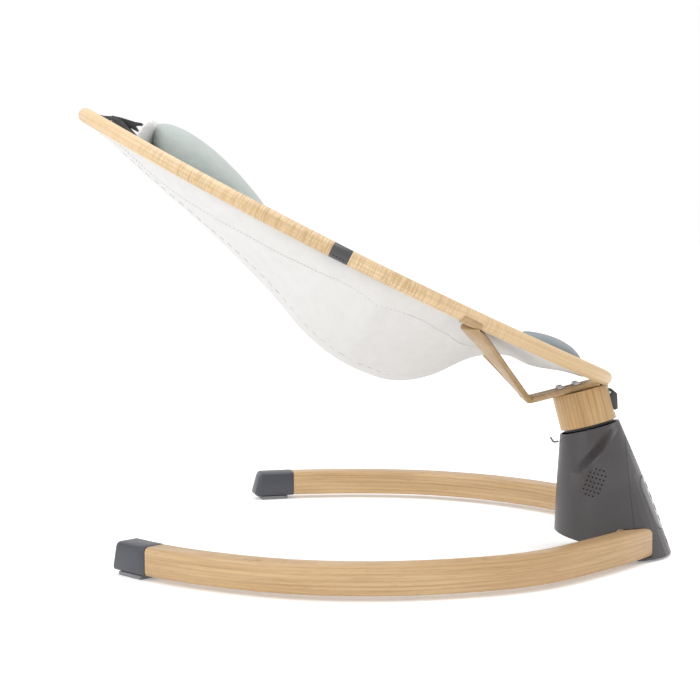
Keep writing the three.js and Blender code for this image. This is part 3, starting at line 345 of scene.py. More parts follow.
def oak_grain_group():
    """Straight oak grain: long fibres, broad growth figure and short dark pores."""
    tree, given, result = start_group(
        "oak_grain",
        {"Along": ("Vector", None), "Light": ("Color", (1, 1, 1, 1)), "Warm": ("Color", (1, 1, 1, 1)),
         "Dark": ("Color", (0, 0, 0, 1))},
        {"Color": "Color", "Roughness": "Float", "Height": "Float"})
    along = given["Along"]
    fibre = noise(tree, scaled_vector(tree, along, (7, 420, 420)), 1.0, 6.0, 0.7)
    figure = noise(tree, scaled_vector(tree, along, (2.6, 26, 26)), 1.0, 3.0, 0.5, 0.6)
    bands = add_node(tree, "TexWave", {"wave_type": "BANDS", "bands_direction": "Z",
                                       "wave_profile": "SAW"},
                     Vector=scaled_vector(tree, along, (1.9, 42, 42)), Scale=1.3, Distortion=9.0,
                     Detail=2.5, Detail_Scale=0.7, Detail_Roughness=0.6).outputs["Fac"]
    pores = noise(tree, scaled_vector(tree, along, (60, 1500, 1500)), 1.0, 2.0, 0.5)
    tone = mixed(tree, ranged(tree, figure, 0.36, 0.66), given["Light"], given["Warm"])
    lines = maths(tree, "MULTIPLY", ranged(tree, bands, 0.5, 1.0), 0.26)
    tone = mixed(tree, lines, tone, given["Dark"])
    tone = mixed(tree, maths(tree, "MULTIPLY", ranged(tree, fibre, 0.42, 0.72), 0.42), tone,
                 given["Dark"])
    pore = maths(tree, "MULTIPLY", ranged(tree, pores, 0.58, 0.72), 0.4)
    plug(tree, mixed(tree, pore, tone, given["Dark"]), result["Color"])
    plug(tree, ranged(tree, fibre, 0.3, 0.7, 0.38, 0.5), result["Roughness"])
    plug(tree, maths(tree, "SUBTRACT", maths(tree, "MULTIPLY", fibre, 0.4), pore), result["Height"])
    return tree


def weave_group():
    """A plain weave of fine threads over soft, uneven cloth."""
    tree, given, result = start_group(
        "weave",
        {"Place": ("Vector", None), "Threads": ("Float", 900.0), "Light": ("Color", (1, 1, 1, 1)),
         "Shade": ("Color", (0.8, 0.8, 0.8, 1))},
        {"Color": "Color", "Roughness": "Float", "Height": "Float"})
    spaced = tree.nodes.new("ShaderNodeVectorMath")
    spaced.operation = "SCALE"
    plug(tree, given["Place"], spaced.inputs[0])
    plug(tree, given["Threads"], spaced.inputs["Scale"])
    split = add_node(tree, "SeparateXYZ")
    plug(tree, spaced.outputs[0], split.inputs[0])
    warp = maths(tree, "ABSOLUTE", maths(tree, "SINE", maths(tree, "MULTIPLY", split.outputs[0], math.pi)))
    weft = maths(tree, "ABSOLUTE", maths(tree, "SINE", maths(tree, "MULTIPLY", split.outputs[1], math.pi)))
    deep = maths(tree, "ABSOLUTE", maths(tree, "SINE", maths(tree, "MULTIPLY", split.outputs[2], math.pi)))
    threads = maths(tree, "MULTIPLY", maths(tree, "MULTIPLY", warp, weft), deep)
    blotch = noise(tree, given["Place"], 60.0, 4.0, 0.6)
    slub = noise(tree, given["Place"], 420.0, 3.0, 0.6)
    share = maths(tree, "ADD", maths(tree, "MULTIPLY", threads, 0.35),
                  maths(tree, "MULTIPLY", ranged(tree, blotch, 0.35, 0.7), 0.35))
    plug(tree, mixed(tree, share, given["Light"], given["Shade"]), result["Color"])
    plug(tree, ranged(tree, slub, 0.3, 0.7, 0.85, 0.97), result["Roughness"])
    plug(tree, maths(tree, "ADD", threads, maths(tree, "MULTIPLY", slub, 0.8)), result["Height"])
    return tree


def moulded_group():
    """Fine spark-eroded grain of a moulded part, with paler rubbed patches."""
    tree, given, result = start_group(
        "moulded",
        {"Place": ("Vector", None), "Color": ("Color", (0.1, 0.1, 0.1, 1)),
         "Rubbed": ("Color", (0.2, 0.2, 0.2, 1)), "Smooth": ("Float", 0.4)},
        {"Color": "Color", "Roughness": "Float", "Height": "Float"})
    fine = noise(tree, given["Place"], 2600.0, 2.0, 0.5)
    broad = noise(tree, given["Place"], 22.0, 4.0, 0.6)
    plug(tree, mixed(tree, ranged(tree, broad, 0.45, 0.8, 0.0, 0.35), given["Color"], given["Rubbed"]),
         result["Color"])
    rough = maths(tree, "ADD", given["Smooth"], ranged(tree, fine, 0.2, 0.8, 0.0, 0.1))
    plug(tree, rough, result["Roughness"])
    plug(tree, fine, result["Height"])
    return tree


OAK_GRAIN = oak_grain_group()
WEAVE = weave_group()
MOULDED = moulded_group()


def start_material(name):
    material = bpy.data.materials.new(name)
    material.use_nodes = True
    tree = material.node_tree
    return material, tree, tree.nodes["Principled BSDF"]


def place_group(tree, group, **sockets):
    made = tree.nodes.new("ShaderNodeGroup")
    made.node_tree = group
    for name, value in sockets.items():
        plug(tree, value, made.inputs[name])
    return made.outputs


def bump(tree, height, strength, distance, shader):
    made = add_node(tree, "Bump", Strength=strength, Distance=distance, Height=height)
    tree.links.new(made.outputs["Normal"], shader.inputs["Normal"])


def own_place(tree):
    return tree.nodes.new("ShaderNodeTexCoord").outputs["Object"]


def grain_place(tree):
    return add_node(tree, "Attribute", {"attribute_type": "GEOMETRY", "attribute_name": "grain"}
                    ).outputs["Vector"]


def wood(name, light, warm, dark, turned=None, coat=0.15):
    """Oak under clear lacquer; `turned` holds the frame of a piece cut straight from the log."""
    material, tree, shader = start_material(name)
    if turned is None:
        along = grain_place(tree)
    else:
        mapping = add_node(tree, "Mapping", {"vector_type": "TEXTURE"}, Vector=own_place(tree))
        mapping.inputs["Location"].default_value = turned.translation
        mapping.inputs["Rotation"].default_value = turned.to_euler()
        along = mapping.outputs[0]
    grain = place_group(tree, OAK_GRAIN, Along=along, Light=light, Warm=warm, Dark=dark)
    plug(tree, grain["Color"], shader.inputs["Base Color"])
    plug(tree, grain["Roughness"], shader.inputs["Roughness"])
    shader.inputs["Coat Weight"].default_value = coat
    shader.inputs["Coat Roughness"].default_value = 0.25
    bump(tree, grain["Height"], 0.25, 0.3 * MM, shader)
    return material


HALF_RING_LENGTH = 0.96  # along the tube between the two sleeves


def printed_tube(name):
    """Wood-pattern film on the metal ring, with fine lines round the tube along its middle."""
    material, tree, shader = start_material(name)
    along = grain_place(tree)
    grain = place_group(tree, OAK_GRAIN, Along=along, Light=(0.70, 0.53, 0.33, 1),
                        Warm=(0.61, 0.44, 0.25, 1), Dark=(0.40, 0.265, 0.13, 1))
    round_lines = noise(tree, scaled_vector(tree, along, (620, 40, 40)), 1.0, 4.0, 0.7)
    patches = noise(tree, scaled_vector(tree, along, (16, 30, 30)), 1.0, 3.0, 0.6)
    split = add_node(tree, "SeparateXYZ")
    plug(tree, along, split.inputs[0])
    # The film's cross lines are strong near the sleeves and fade towards both ends of the seat.
    from_sleeve = maths(tree, "PINGPONG", split.outputs[0], HALF_RING_LENGTH / 2)
    middle = ranged(tree, from_sleeve, 0.36, 0.14, 0.2, 1.0)
    share = maths(tree, "MULTIPLY", ranged(tree, round_lines, 0.44, 0.6, 0.0, 0.85),
                  maths(tree, "MULTIPLY", middle, ranged(tree, patches, 0.3, 0.6, 0.35, 1.0)))
    colour = mixed(tree, share, grain["Color"], (0.42, 0.275, 0.13, 1))
    plug(tree, colour, shader.inputs["Base Color"])
    plug(tree, grain["Roughness"], shader.inputs["Roughness"])
    bump(tree, round_lines, 0.12, 0.2 * MM, shader)
    return material


def plastic(name, colour, rubbed, smooth, grain=0.12):
    """A moulded part's finish; `smooth` is its roughness where it is smoothest."""
    material, tree, shader = start_material(name)
    made = place_group(tree, MOULDED, Place=own_place(tree), Color=colour, Rubbed=rubbed, Smooth=smooth)
    plug(tree, made["Color"], shader.inputs["Base Color"])
    plug(tree, made["Roughness"], shader.inputs["Roughness"])
    bump(tree, made["Height"], grain, 0.08 * MM, shader)
    return material


def cloth(name, light, shade, threads=900.0, sheen=0.3, relief=0.35):
    """Woven fabric with `threads` to the metre."""
    material, tree, shader = start_material(name)
    made = place_group(tree, WEAVE, Place=own_place(tree), Threads=threads, Light=light, Shade=shade)
    plug(tree, made["Color"], shader.inputs["Base Color"])
    plug(tree, made["Roughness"], shader.inputs["Roughness"])
    shader.inputs["Sheen Weight"].default_value = sheen
    shader.inputs["Sheen Roughness"].default_value = 0.5
    bump(tree, made["Height"], relief, 0.25 * MM, shader)
    return material


def metal(name, colour, rough, marks):
    """Bare metal with fine marks, packed by `marks` along each axis."""
    material, tree, shader = start_material(name)
    place = own_place(tree)
    scratch = noise(tree, scaled_vector(tree, place, marks), 1.0, 3.0, 0.6)
    patina = noise(tree, place, 90.0, 3.0, 0.6)
    plug(tree, mixed(tree, ranged(tree, patina, 0.4, 0.8, 0.0, 0.5), colour,
                     tuple(c * 0.75 for c in colour[:3]) + (1,)), shader.inputs["Base Color"])
    plug(tree, ranged(tree, scratch, 0.3, 0.7, rough, rough + 0.15), shader.inputs["Roughness"])
    shader.inputs["Metallic"].default_value = 1.0
    bump(tree, scratch, 0.1, 0.05 * MM, shader)
    return material


def tower_plastic(name):
    """Satin dark shell with a soft crease that sweeps down its side from the neck."""
    material, tree, shader = start_material(name)
    place = own_place(tree)
    made = place_group(tree, MOULDED, Place=place, Color=(0.050, 0.045, 0.048, 1),
                       Rubbed=(0.074, 0.070, 0.073, 1), Smooth=0.33)
    split = add_node(tree, "SeparateXYZ")
    plug(tree, place, split.inputs[0])
    # The crease runs from the shoulder behind the neck down towards the front of the side.
    rise = maths(tree, "SUBTRACT", split.outputs[2], CREASE_LOW)
    sweep = maths(tree, "MULTIPLY", maths(tree, "POWER", maths(tree, "MAXIMUM", rise, 0.0001), 0.9),
                  CREASE_REACH)
    edge = maths(tree, "SUBTRACT", maths(tree, "SUBTRACT", split.outputs[0], CREASE_FOOT_X), sweep)
    fold = ranged(tree, edge, -0.010, 0.012)
    fade = ranged(tree, split.outputs[2], CREASE_LOW - 0.03, CREASE_LOW + 0.03)
    step = maths(tree, "MULTIPLY", fold, fade)
    plug(tree, made["Color"], shader.inputs["Base Color"])
    plug(tree, made["Roughness"], shader.inputs["Roughness"])
    first = add_node(tree, "Bump", Strength=0.12, Distance=0.08 * MM, Height=made["Height"])
    second = add_node(tree, "Bump", Strength=1.0, Distance=14 * MM, Height=step,
                      Normal=first.outputs["Normal"])
    tree.links.new(second.outputs["Normal"], shader.inputs["Normal"])
    return material


NECK_FRAME = Matrix.Translation(swing_point) @ Matrix.Rotation(-NECK_TILT, 4, "Y") \
    @ Matrix.Rotation(-math.pi / 2, 4, "Y")

oak = wood("oak", (0.545, 0.37, 0.192, 1), (0.46, 0.29, 0.133, 1), (0.22, 0.12, 0.045, 1))
neck_oak = wood("neck_oak", (0.57, 0.375, 0.175, 1), (0.46, 0.28, 0.115, 1), (0.17, 0.09, 0.035, 1),
                turned=NECK_FRAME)
strut_oak = wood("strut_oak", (0.46, 0.315, 0.165, 1), (0.38, 0.25, 0.12, 1),
                 (0.22, 0.13, 0.06, 1), turned=Matrix.Rotation(STRUT_LEAN, 4, "Y"))
ring_film = printed_tube("ring_film")
cap_plastic = plastic("cap_plastic", (0.044, 0.046, 0.057, 1), (0.058, 0.06, 0.072, 1), 0.34)
dark_plastic = plastic("dark_plastic", (0.05, 0.05, 0.053, 1), (0.068, 0.068, 0.071, 1), 0.38)
black_plastic = plastic("black_plastic", (0.022, 0.022, 0.024, 1), (0.04, 0.04, 0.042, 1), 0.3)
shell_plastic = tower_plastic("shell_plastic")
smoke_panel = plastic("smoke_panel", (0.14, 0.14, 0.142, 1), (0.19, 0.19, 0.19, 1), 0.05, 0.0)
grey_rubber = plastic("grey_rubber", (0.19, 0.19, 0.2, 1), (0.23, 0.23, 0.24, 1), 0.75, 0.4)
zinc = metal("zinc", (0.62, 0.63, 0.65, 1), 0.28, (300, 300, 2500))
dark_wire = metal("dark_wire", (0.24, 0.22, 0.19, 1), 0.35, (900, 900, 900))
bearing_bronze = metal("bearing_bronze", (0.5, 0.34, 0.16, 1), 0.4, (900, 900, 900))
circuit_green = plastic("circuit_green", (0.03, 0.13, 0.05, 1), (0.05, 0.2, 0.08, 1), 0.35)


sling_cloth = cloth("sling_cloth", (0.625, 0.62, 0.613, 1), (0.56, 0.552, 0.54, 1), 800.0, 0.05,
                    relief=0.2)
# The piping is the sling's fabric painted darker, as painted shade along the seams.
piping_painted_shade_cloth = cloth("piping_painted_shade_cloth", (0.56, 0.55, 0.535, 1), (0.47, 0.46, 0.445, 1), 1100.0, 0.05)
pad_cloth = cloth("pad_cloth", (0.70, 0.70, 0.69, 1), (0.58, 0.58, 0.57, 1), 650.0, 0.15)
sage_cloth = cloth("sage_cloth", (0.37, 0.41, 0.39, 1), (0.30, 0.34, 0.325, 1), 950.0, 0.2)
blue_cloth = cloth("blue_cloth", (0.175, 0.20, 0.215, 1), (0.14, 0.16, 0.175, 1), 950.0, 0.15)
seam_thread = cloth("seam_thread", (0.44, 0.43, 0.41, 1), (0.32, 0.31, 0.29, 1), 1500.0, 0.0)
# Dark cloth for the dashes of painted shadow in the bottom seam's gaps.
shadow_gap = cloth("seam_gap_painted_shadow", (0.16, 0.155, 0.15, 1), (0.1, 0.1, 0.1, 1), 1500.0, 0.0)

node_finish = {
    "oak": oak, "oak_print": strut_oak, "dark_plastic": dark_plastic,
    "black_plastic": black_plastic, "gloss_panel": smoke_panel, "rubber": grey_rubber,
    "steel": zinc, "bronze": bearing_bronze, "board": circuit_green,
    "white_fabric": pad_cloth, "sage_fabric": sage_cloth, "blue_fabric": blue_cloth,
}


# ---- Floor base ---------------------------------------------------------------------------
GRAIN_SHIFT = 50 * MM  # keeps the two legs from sharing one figure


def leg_grain(side):
    """Turns a point of a leg into (along, out, up) in the straightened leg."""
    line = [spline_through(LEG_LINE, i / 90) for i in range(91)]
    line = [Vector((swing_point.x + p.x * MM, side * p.y * MM)) for p in line]
    lengths = [0.0]
    for a, b in zip(line, line[1:]):
        lengths.append(lengths[-1] + (b - a).length)

    def straight(point):
        flat = Vector((point.x, point.y))
        i = min(range(len(line)), key=lambda j: (line[j] - flat).length_squared)
        a, b = line[max(i - 1, 0)], line[min(i + 1, len(line) - 1)]
        along = (b - a).normalized()
        offset = flat - line[i]
        out = Vector((along.y, -along.x)).dot(offset)
        return lengths[i] + along.dot(offset), out, point.z + GRAIN_SHIFT * side

    return straight


def make_base():
    for side, name in ((-1, "right"), (1, "left")):
        leg = refined("base_leg_" + name, oak, bevel=0.8 * MM, angle=40)
        straight = leg_grain(side)
        keep_grain(leg, [straight(v.co) for v in leg.data.vertices])
        refined("leg_cap_" + name, cap_plastic, bevel=0.9 * MM)
        refined("leg_pad_" + name, grey_rubber, bevel=0.5 * MM)


HOOK_WIRE_R = 1.25 * MM


def make_tower():
    refined("tower_front_shell", shell_plastic, angle=28)
    refined("tower_rear_shell", shell_plastic, angle=28)
    refined("control_panel", smoke_panel, bevel=0.4 * MM)
    for node in ("power_button", "slower_button", "faster_button", "music_button"):
        refined(node, black_plastic, bevel=0.6 * MM)
    low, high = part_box("lock_hook")
    middle_y = (low.y + high.y) / 2
    wall = high.x + 1 * MM
    # Out of the tower, along, and up to its tip.
    line = [Vector((wall, middle_y, low.z + 2.2 * MM)),
            Vector((wall - 4 * MM, middle_y, low.z + 1.2 * MM)),
            Vector((wall - 7 * MM, middle_y, low.z + 1.6 * MM)),
            Vector((low.x + 0.8 * MM, middle_y, high.z - 1 * MM))]
    path = [spline_through(line, i / 16) for i in range(17)]
    wire = swept_tube("hook_wire", path, HOOK_WIRE_R, 12, up=Vector((0, 1, 0)))
    finish_piece(wire, "base", dark_wire, ["lock_hook"])


# ---- Seat ---------------------------------------------------------------------------------
def ring_span(from_angle, to_angle, count):
    """Points of the ring's centreline between two angles."""
    return [ring_point(from_angle + (to_angle - from_angle) * i / count) for i in range(count + 1)]


def make_ring():
    joint = math.acos(-RING_JOINT)
    half_sleeve = SLEEVE_LENGTH / RING_HALF_LENGTH / 2
    head = swept_tube("ring_head", ring_span(-joint + half_sleeve, joint - half_sleeve, 150),
                      TUBE_R, 28, up=SWUNG_UP)
    finish_piece(head, "seat", ring_film, ["ring_head_half"])
    foot = swept_tube("ring_foot", ring_span(joint + half_sleeve, 2 * math.pi - joint - half_sleeve, 150),
                      TUBE_R, 28, up=SWUNG_UP)
    finish_piece(foot, "seat", ring_film, ["ring_foot_half"])
    for name in ("left", "right"):
        refined("joint_sleeve_" + name, dark_plastic, bevel=0.25 * MM)
        refined("strut_" + name, strut_oak, bevel=1.0 * MM)
        refined("ring_saddle_" + name, strut_oak, bevel=0.3 * MM)
        for number in ("1", "2"):
            refined("arm_bolt_" + name + "_" + number, zinc, bevel=0.4 * MM)


def make_neck():
    refined("neck_post", neck_oak, bevel=0.8 * MM)
    refined("turn_ring", black_plastic, bevel=0.3 * MM)
    refined("lever_bracket", black_plastic, bevel=0.4 * MM)
    refined("release_lever", dark_plastic, bevel=0.8 * MM)
    refined("head_bracket", dark_plastic, bevel=0.7 * MM)
    refined("head_clip", black_plastic, bevel=0.6 * MM)


SLING_ROWS, SLING_COLUMNS = 150, 96


def make_sling():
    """One stretched sheet of cloth, with its seams and piping."""
    points = []
    for i in range(SLING_ROWS + 1):
        u = SLING_FROM + (SLING_TO - SLING_FROM) * i / SLING_ROWS
        deep = on_spline(SLING_DEPTH, u)
        points += [sling_place(u, 2 * j / SLING_COLUMNS - 1, depth=deep)
                   for j in range(SLING_COLUMNS + 1)]
    across = SLING_COLUMNS + 1
    faces = [(i * across + j, i * across + j + 1, (i + 1) * across + j + 1, (i + 1) * across + j)
             for i in range(SLING_ROWS) for j in range(SLING_COLUMNS)]
    sling = new_mesh("sling_cloth", points, faces)
    apply_modifier(sling, "SOLIDIFY", thickness=SLING_WALL, offset=1.0)
    only(sling)
    bpy.ops.object.shade_smooth_by_angle(angle=math.radians(50))
    finish_piece(sling, "seat", sling_cloth, ["sling"])
    for side, name in ((-1, "right"), (1, "left")):
        seam_welt("side_seam_" + name, SIDE_SEAM, side, SIDE_WELT_R)
        seam_welt("bottom_piping_" + name, BOTTOM_SEAM, side, BOTTOM_WELT_R)
        for number, offset in enumerate(STITCH_ROWS):
            stitches("seam_stitches_%s_%d" % (name, number), SIDE_SEAM, side, offset,
                                  STITCH_LENGTH, STITCH_PITCH, STITCH_R, seam_thread)
        # Dark dashes of painted shadow along the bottom seam.
        stitches("bottom_shadow_dashes_" + name, BOTTOM_SEAM, side, GAP_ROW,
                              GAP_LENGTH, GAP_PITCH, GAP_R, shadow_gap)
    edge_hem()


SEAM_STEP = 0.004  # for the slope of the sling beside a seam
SEAM_PROUD = 0.3 * MM
SIDE_WELT_R = 0.55 * MM
BOTTOM_WELT_R = 1.0 * MM


def seam_line(seam, side, count):
    """Points just outside the sling along a seam."""
    line = []
    for i in range(count + 1):
        u, k = spline_through(seam, i / count)
        deep = on_spline(SLING_DEPTH, u)
        p = sling_place(u, side * k, depth=deep)
        du = sling_place(u + SEAM_STEP, side * k) - p
        dk = sling_place(u, side * k + SEAM_STEP, depth=deep) - p
        normal = du.cross(dk).normalized()
        line.append(p + normal * (SEAM_PROUD if normal.dot(SWUNG_UP) < 0 else -SEAM_PROUD))
    return line


def seam_welt(name, seam, side, radius):
    """A raised line of piping along a seam."""
    welt = swept_tube(name, seam_line(seam, side, 130), radius, 10, up=SWUNG_UP)
    return finish_piece(welt, "seat", piping_painted_shade_cloth)


STITCH_LENGTH = 2.6 * MM
STITCH_PITCH = 4.2 * MM
STITCH_R = 0.28 * MM
STITCH_ROWS = (0.0, 3.2 * MM)  # below the seam
GAP_LENGTH = 9 * MM  # open places in the bottom seam, drawn as dark dashes of painted shadow
GAP_PITCH = 13 * MM
GAP_R = 0.5 * MM
GAP_ROW = 1.6 * MM


def stitches(name, seam, side, offset, length, pitch, thick, material):
    """A row of short thread stitches below a seam."""
    line = seam_line(seam, side, 400)
    points, faces = [], []
    travelled, start = 0.0, line[0]
    for a, b in zip(line, line[1:]):
        travelled += (b - a).length
        if travelled < pitch:
            continue
        along = (b - start).normalized()
        out = along.cross(SWUNG_UP).normalized()
        down = along.cross(out).normalized()
        add_stitch(points, faces, start - SWUNG_UP * offset, along * length, out * thick, down * thick)
        travelled, start = 0.0, b
    piece = new_mesh(name, points, faces)
    return finish_piece(piece, "seat", material)


STITCH_SIDES = 5
STITCH_RINGS = ((0.0, 0.45), (0.2, 1.0), (0.8, 1.0), (1.0, 0.45))  # place along it, thickness


def add_stitch(points, faces, start, along, out, down):
    """One stitch: a thread that rises from the cloth and goes back into it."""
    first = len(points)
    for share, thick in STITCH_RINGS:
        for side in range(STITCH_SIDES):
            turn = 2 * math.pi * side / STITCH_SIDES
            points.append(start + along * share
                          + (out * math.cos(turn) + down * math.sin(turn)) * thick)
    for ring in range(len(STITCH_RINGS) - 1):
        for a in range(STITCH_SIDES):
            i, j = first + ring * STITCH_SIDES, first + (ring + 1) * STITCH_SIDES
            b = (a + 1) % STITCH_SIDES
            faces.append((i + a, i + b, j + b, j + a))
    last = first + (len(STITCH_RINGS) - 1) * STITCH_SIDES
    faces.append(tuple(first + a for a in reversed(range(STITCH_SIDES))))
    faces.append(tuple(last + a for a in range(STITCH_SIDES)))


HEM_POINTS = 220
HEM_REACH = 0.935  # how far along the ring the hem goes, towards each end
HEM_END_EDGE = 0.999  # its place across the sling at the two ends
HEM_INSET = 1.5 * MM
HEM_R = 2.2 * MM


def edge_hem():
    """The rolled hem along the sling's edge, just inside the ring."""
    line = []
    for i in range(HEM_POINTS):
        angle = 2 * math.pi * i / HEM_POINTS
        u = -math.cos(angle) * HEM_REACH
        edge = 1.0 if abs(u) < SLING_TO else HEM_END_EDGE
        line.append(sling_place(u, math.copysign(edge, math.sin(angle))))
    middle = sum(line, Vector()) / HEM_POINTS
    line = [p + (middle - p).normalized() * HEM_INSET for p in line]
    hem = swept_tube("sling_hem", line, HEM_R, 10, closed=True, up=SWUNG_UP)
    return finish_piece(hem, "seat", sling_cloth)


# ---- Soft goods ---------------------------------------------------------------------------
def pillow_mesh(name, from_u, to_u, half_width, low, crown, shrink=0.94, long=28, around=36):
    """A closed pillow between two places along the ring, as lifts over the ring's plane."""
    points = []
    middle = (from_u + to_u) / 2
    for i in range(long + 1):
        t = i / long
        u = middle + (from_u + (to_u - from_u) * t - middle) * shrink
        full = max(0.02, math.sin(math.pi * (0.03 + 0.94 * t))) ** 0.45
        bottom, top = low(t), crown(t)
        for j in range(around):
            a = 2 * math.pi * j / around
            cy = math.copysign(abs(math.cos(a)) ** 0.8, math.cos(a))
            cz = math.copysign(abs(math.sin(a)) ** 0.8, math.sin(a))
            lift = (bottom + top) / 2 + (top - bottom) / 2 * full * cz * shrink
            points.append(SWUNG @ ring_place(u, half_width * full * cy * shrink * MM, lift * MM))
    faces = [(i * around + j, i * around + (j + 1) % around, (i + 1) * around + (j + 1) % around,
              (i + 1) * around + j) for i in range(long) for j in range(around)]
    faces.append(tuple(reversed(range(around))))
    faces.append(tuple(range(long * around, (long + 1) * around)))
    piece = new_mesh(name, points, faces)
    face_outwards(piece)
    return piece


CLOTH_FRAMES = 20


def plump(piece, voxel, most, pressure=4.0):
    """Fills a pillow with air as cloth, keeping every point within `most` of its start."""
    only(piece)
    apply_modifier(piece, "REMESH", mode="VOXEL", voxel_size=voxel)
    apply_modifier(piece, "SMOOTH", factor=0.5, iterations=6)
    start = [v.co.copy() for v in piece.data.vertices]
    cloth_modifier = piece.modifiers.new("cloth", "CLOTH")
    settings = cloth_modifier.settings
    settings.use_pressure = True
    settings.uniform_pressure_force = pressure
    settings.effector_weights.gravity = 0
    settings.tension_stiffness = 20
    for number in range(1, CLOTH_FRAMES + 1):
        bpy.context.scene.frame_set(number)
    only(piece)
    bpy.ops.object.modifier_apply(modifier=cloth_modifier.name)
    bpy.context.scene.frame_set(1)
    for vertex, at in zip(piece.data.vertices, start):
        moved = vertex.co - at
        if moved.length > most:
            vertex.co = at + moved.normalized() * most
    apply_modifier(piece, "SUBSURF", levels=1, render_levels=1)
    only(piece)
    bpy.ops.object.shade_smooth()


def make_cushions():
    headrest = pillow_mesh(
        "headrest", -0.775, -0.268, 88, lambda t: -6 - 22 * t ** 1.3,
        lambda t: 61 - 46 * t ** 1.2, shrink=0.97)
    plump(headrest, 5 * MM, 8 * MM)
    finish_piece(headrest, "seat", sage_cloth, ["headrest_cushion"])
    back = pillow_mesh("headrest_back", -0.79, -0.757, 86, lambda t: -8, lambda t: 44, long=10)
    plump(back, 4 * MM, 3 * MM)
    finish_piece(back, "seat", pad_cloth)
    foot = pillow_mesh("foot_bolster", 0.66, 0.92, 96, lambda t: -6,
                       lambda t: 14 + 8 * math.sin(math.pi * t), long=18)
    plump(foot, 4.5 * MM, 6 * MM)
    finish_piece(foot, "seat", blue_cloth, ["foot_cushion"])


PAD_ROWS, PAD_COLUMNS = 150, 90
PAD_FROM, PAD_TO = -0.8, 0.6
PAD_CHANNELS = 11
PAD_UNDERSIDE = 9.5 * MM  # over the sling's underside
PAD_TOP = 17.5 * MM
PAD_INSET = 19 * MM  # from the sling's edge to the pad's
PAD_BORDER_ACROSS, PAD_BORDER_ALONG = 0.12, 0.04  # where its edge thins out


def make_seat_pad():
    """The quilted liner: two sheets with filling, sewn together along channels."""
    over, under = [], []
    for i in range(PAD_ROWS + 1):
        t = i / PAD_ROWS
        u = PAD_FROM + (PAD_TO - PAD_FROM) * t
        deep = on_spline(SLING_DEPTH, u)
        for j in range(PAD_COLUMNS + 1):
            k = 2 * j / PAD_COLUMNS - 1
            channel = abs(math.sin(math.pi * PAD_CHANNELS * t))
            border = min(1.0, (1 - abs(k)) / PAD_BORDER_ACROSS, t / PAD_BORDER_ALONG,
                         (1 - t) / PAD_BORDER_ALONG)
            puff = max(0.0, border) ** 0.5 * (0.2 + 0.8 * channel ** 0.55)
            low = sling_place(u, k, PAD_UNDERSIDE, PAD_INSET, deep)
            high = sling_place(u, k, PAD_TOP, PAD_INSET + 0.5 * MM, deep) + SWUNG_UP * 1.2 * MM
            under.append(low)
            over.append(low + (high - low) * puff + SWUNG_UP * 0.4 * MM)
    across = PAD_COLUMNS + 1
    count = len(under)
    faces = []
    for i in range(PAD_ROWS):
        for j in range(PAD_COLUMNS):
            a, b = i * across + j, (i + 1) * across + j
            faces.append((a, b, b + 1, a + 1))
            faces.append((count + a, count + a + 1, count + b + 1, count + b))
    rim = list(range(PAD_COLUMNS)) \
        + [i * across + PAD_COLUMNS for i in range(PAD_ROWS)] \
        + [PAD_ROWS * across + j for j in range(PAD_COLUMNS, 0, -1)] \
        + [i * across for i in range(PAD_ROWS, 0, -1)]
    faces += [(a, b, count + b, count + a) for a, b in zip(rim, rim[1:] + rim[:1])]
    pad = new_mesh("seat_liner", under + over, faces)
    face_outwards(pad)
    bpy.ops.object.shade_smooth_by_angle(angle=math.radians(60))
    finish_piece(pad, "seat", pad_cloth, ["seat_pad"])


def make_harness():
    """The buckle and its straps."""
    refined("harness_buckle", dark_plastic, bevel=1.6 * MM, segments=3)
    refined("buckle_button", sage_cloth, bevel=0.8 * MM)
    for node in ("waist_strap_right", "waist_strap_left", "crotch_strap"):
        refined(node, sage_cloth, bevel=0.4 * MM)


def finish_frame_nodes():
    """Gives every node its finish."""
    for name, node in nodes.items():
        node.data.materials.clear()
        node.data.materials.append(node_finish[slot_of_node[name]])


# ---- Stage --------------------------------------------------------------------------------
FLOOR_SIZE = 60
FLOOR_GLOW = 0.26


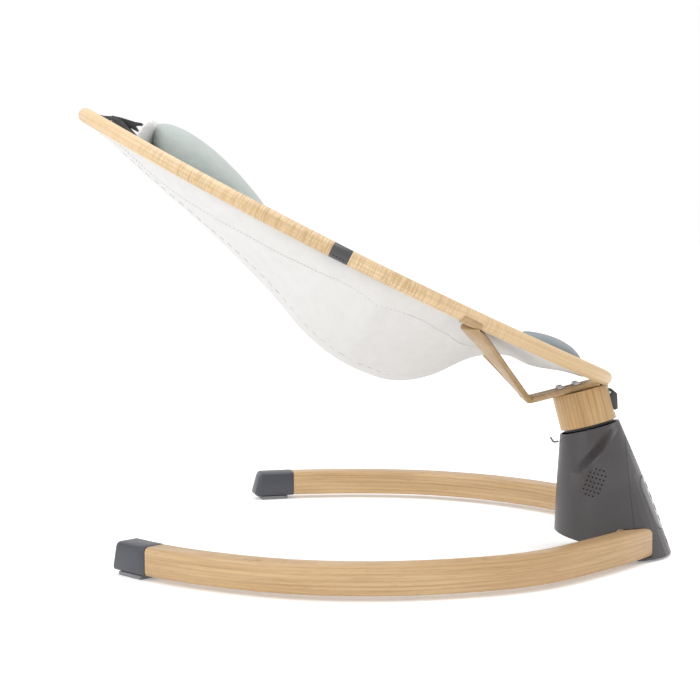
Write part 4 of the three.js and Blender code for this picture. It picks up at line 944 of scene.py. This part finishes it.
def make_stage():
    """A white floor and surround with two soft lamps."""
    bpy.ops.object.select_all(action="DESELECT")
    bpy.ops.mesh.primitive_plane_add(size=FLOOR_SIZE, location=(0, 0, 0))
    floor = bpy.context.active_object
    floor.name = "studio_floor"
    material, _, shader = start_material("studio_white")
    shader.inputs["Base Color"].default_value = (0.9, 0.9, 0.9, 1)
    shader.inputs["Roughness"].default_value = 0.8
    shader.inputs["Emission Color"].default_value = (1, 1, 1, 1)
    shader.inputs["Emission Strength"].default_value = FLOOR_GLOW
    floor.data.materials.append(material)
    world = bpy.data.worlds.new("studio")
    world.use_nodes = True
    background = world.node_tree.nodes["Background"]
    background.inputs["Color"].default_value = (1, 1, 1, 1)
    background.inputs["Strength"].default_value = 1.0
    bpy.context.scene.world = world
    add_light("key_light", place=(-1.5, -2.0, 2.0), size=1.6, power=24)
    add_light("top_light", place=(0.1, 0.3, 3.0), size=2.0, power=36)


LIGHT_AIM = (0, 0, 0.25)


def add_light(name, place, size, power):
    light = bpy.data.lights.new(name, "AREA")
    light.size = size
    light.energy = power
    lamp = bpy.data.objects.new(name, light)
    lamp.location = place
    aim = Vector(LIGHT_AIM) - Vector(place)
    lamp.rotation_euler = aim.to_track_quat("-Z", "Y").to_euler()
    bpy.context.scene.collection.objects.link(lamp)


CAMERA_PLACE = Vector((0.4652, -2.0419, 0.4224))
CAMERA_SIGHT = Vector((-0.24134, 0.96712, -0.0794))
CAMERA_LENS = 81.4
CAMERA_SENSOR = 36


def make_camera():
    camera = bpy.data.cameras.new("camera")
    camera.sensor_width = CAMERA_SENSOR
    camera.lens = CAMERA_LENS
    holder = bpy.data.objects.new("camera", camera)
    holder.location = CAMERA_PLACE
    holder.rotation_euler = CAMERA_SIGHT.to_track_quat("-Z", "Y").to_euler()
    bpy.context.scene.collection.objects.link(holder)
    bpy.context.scene.camera = holder


make_camera()
make_stage()
make_base()
make_tower()
make_ring()
make_neck()
make_sling()
make_cushions()
make_seat_pad()
make_harness()
finish_frame_nodes()
bpy.context.scene.view_settings.view_transform = "Standard"
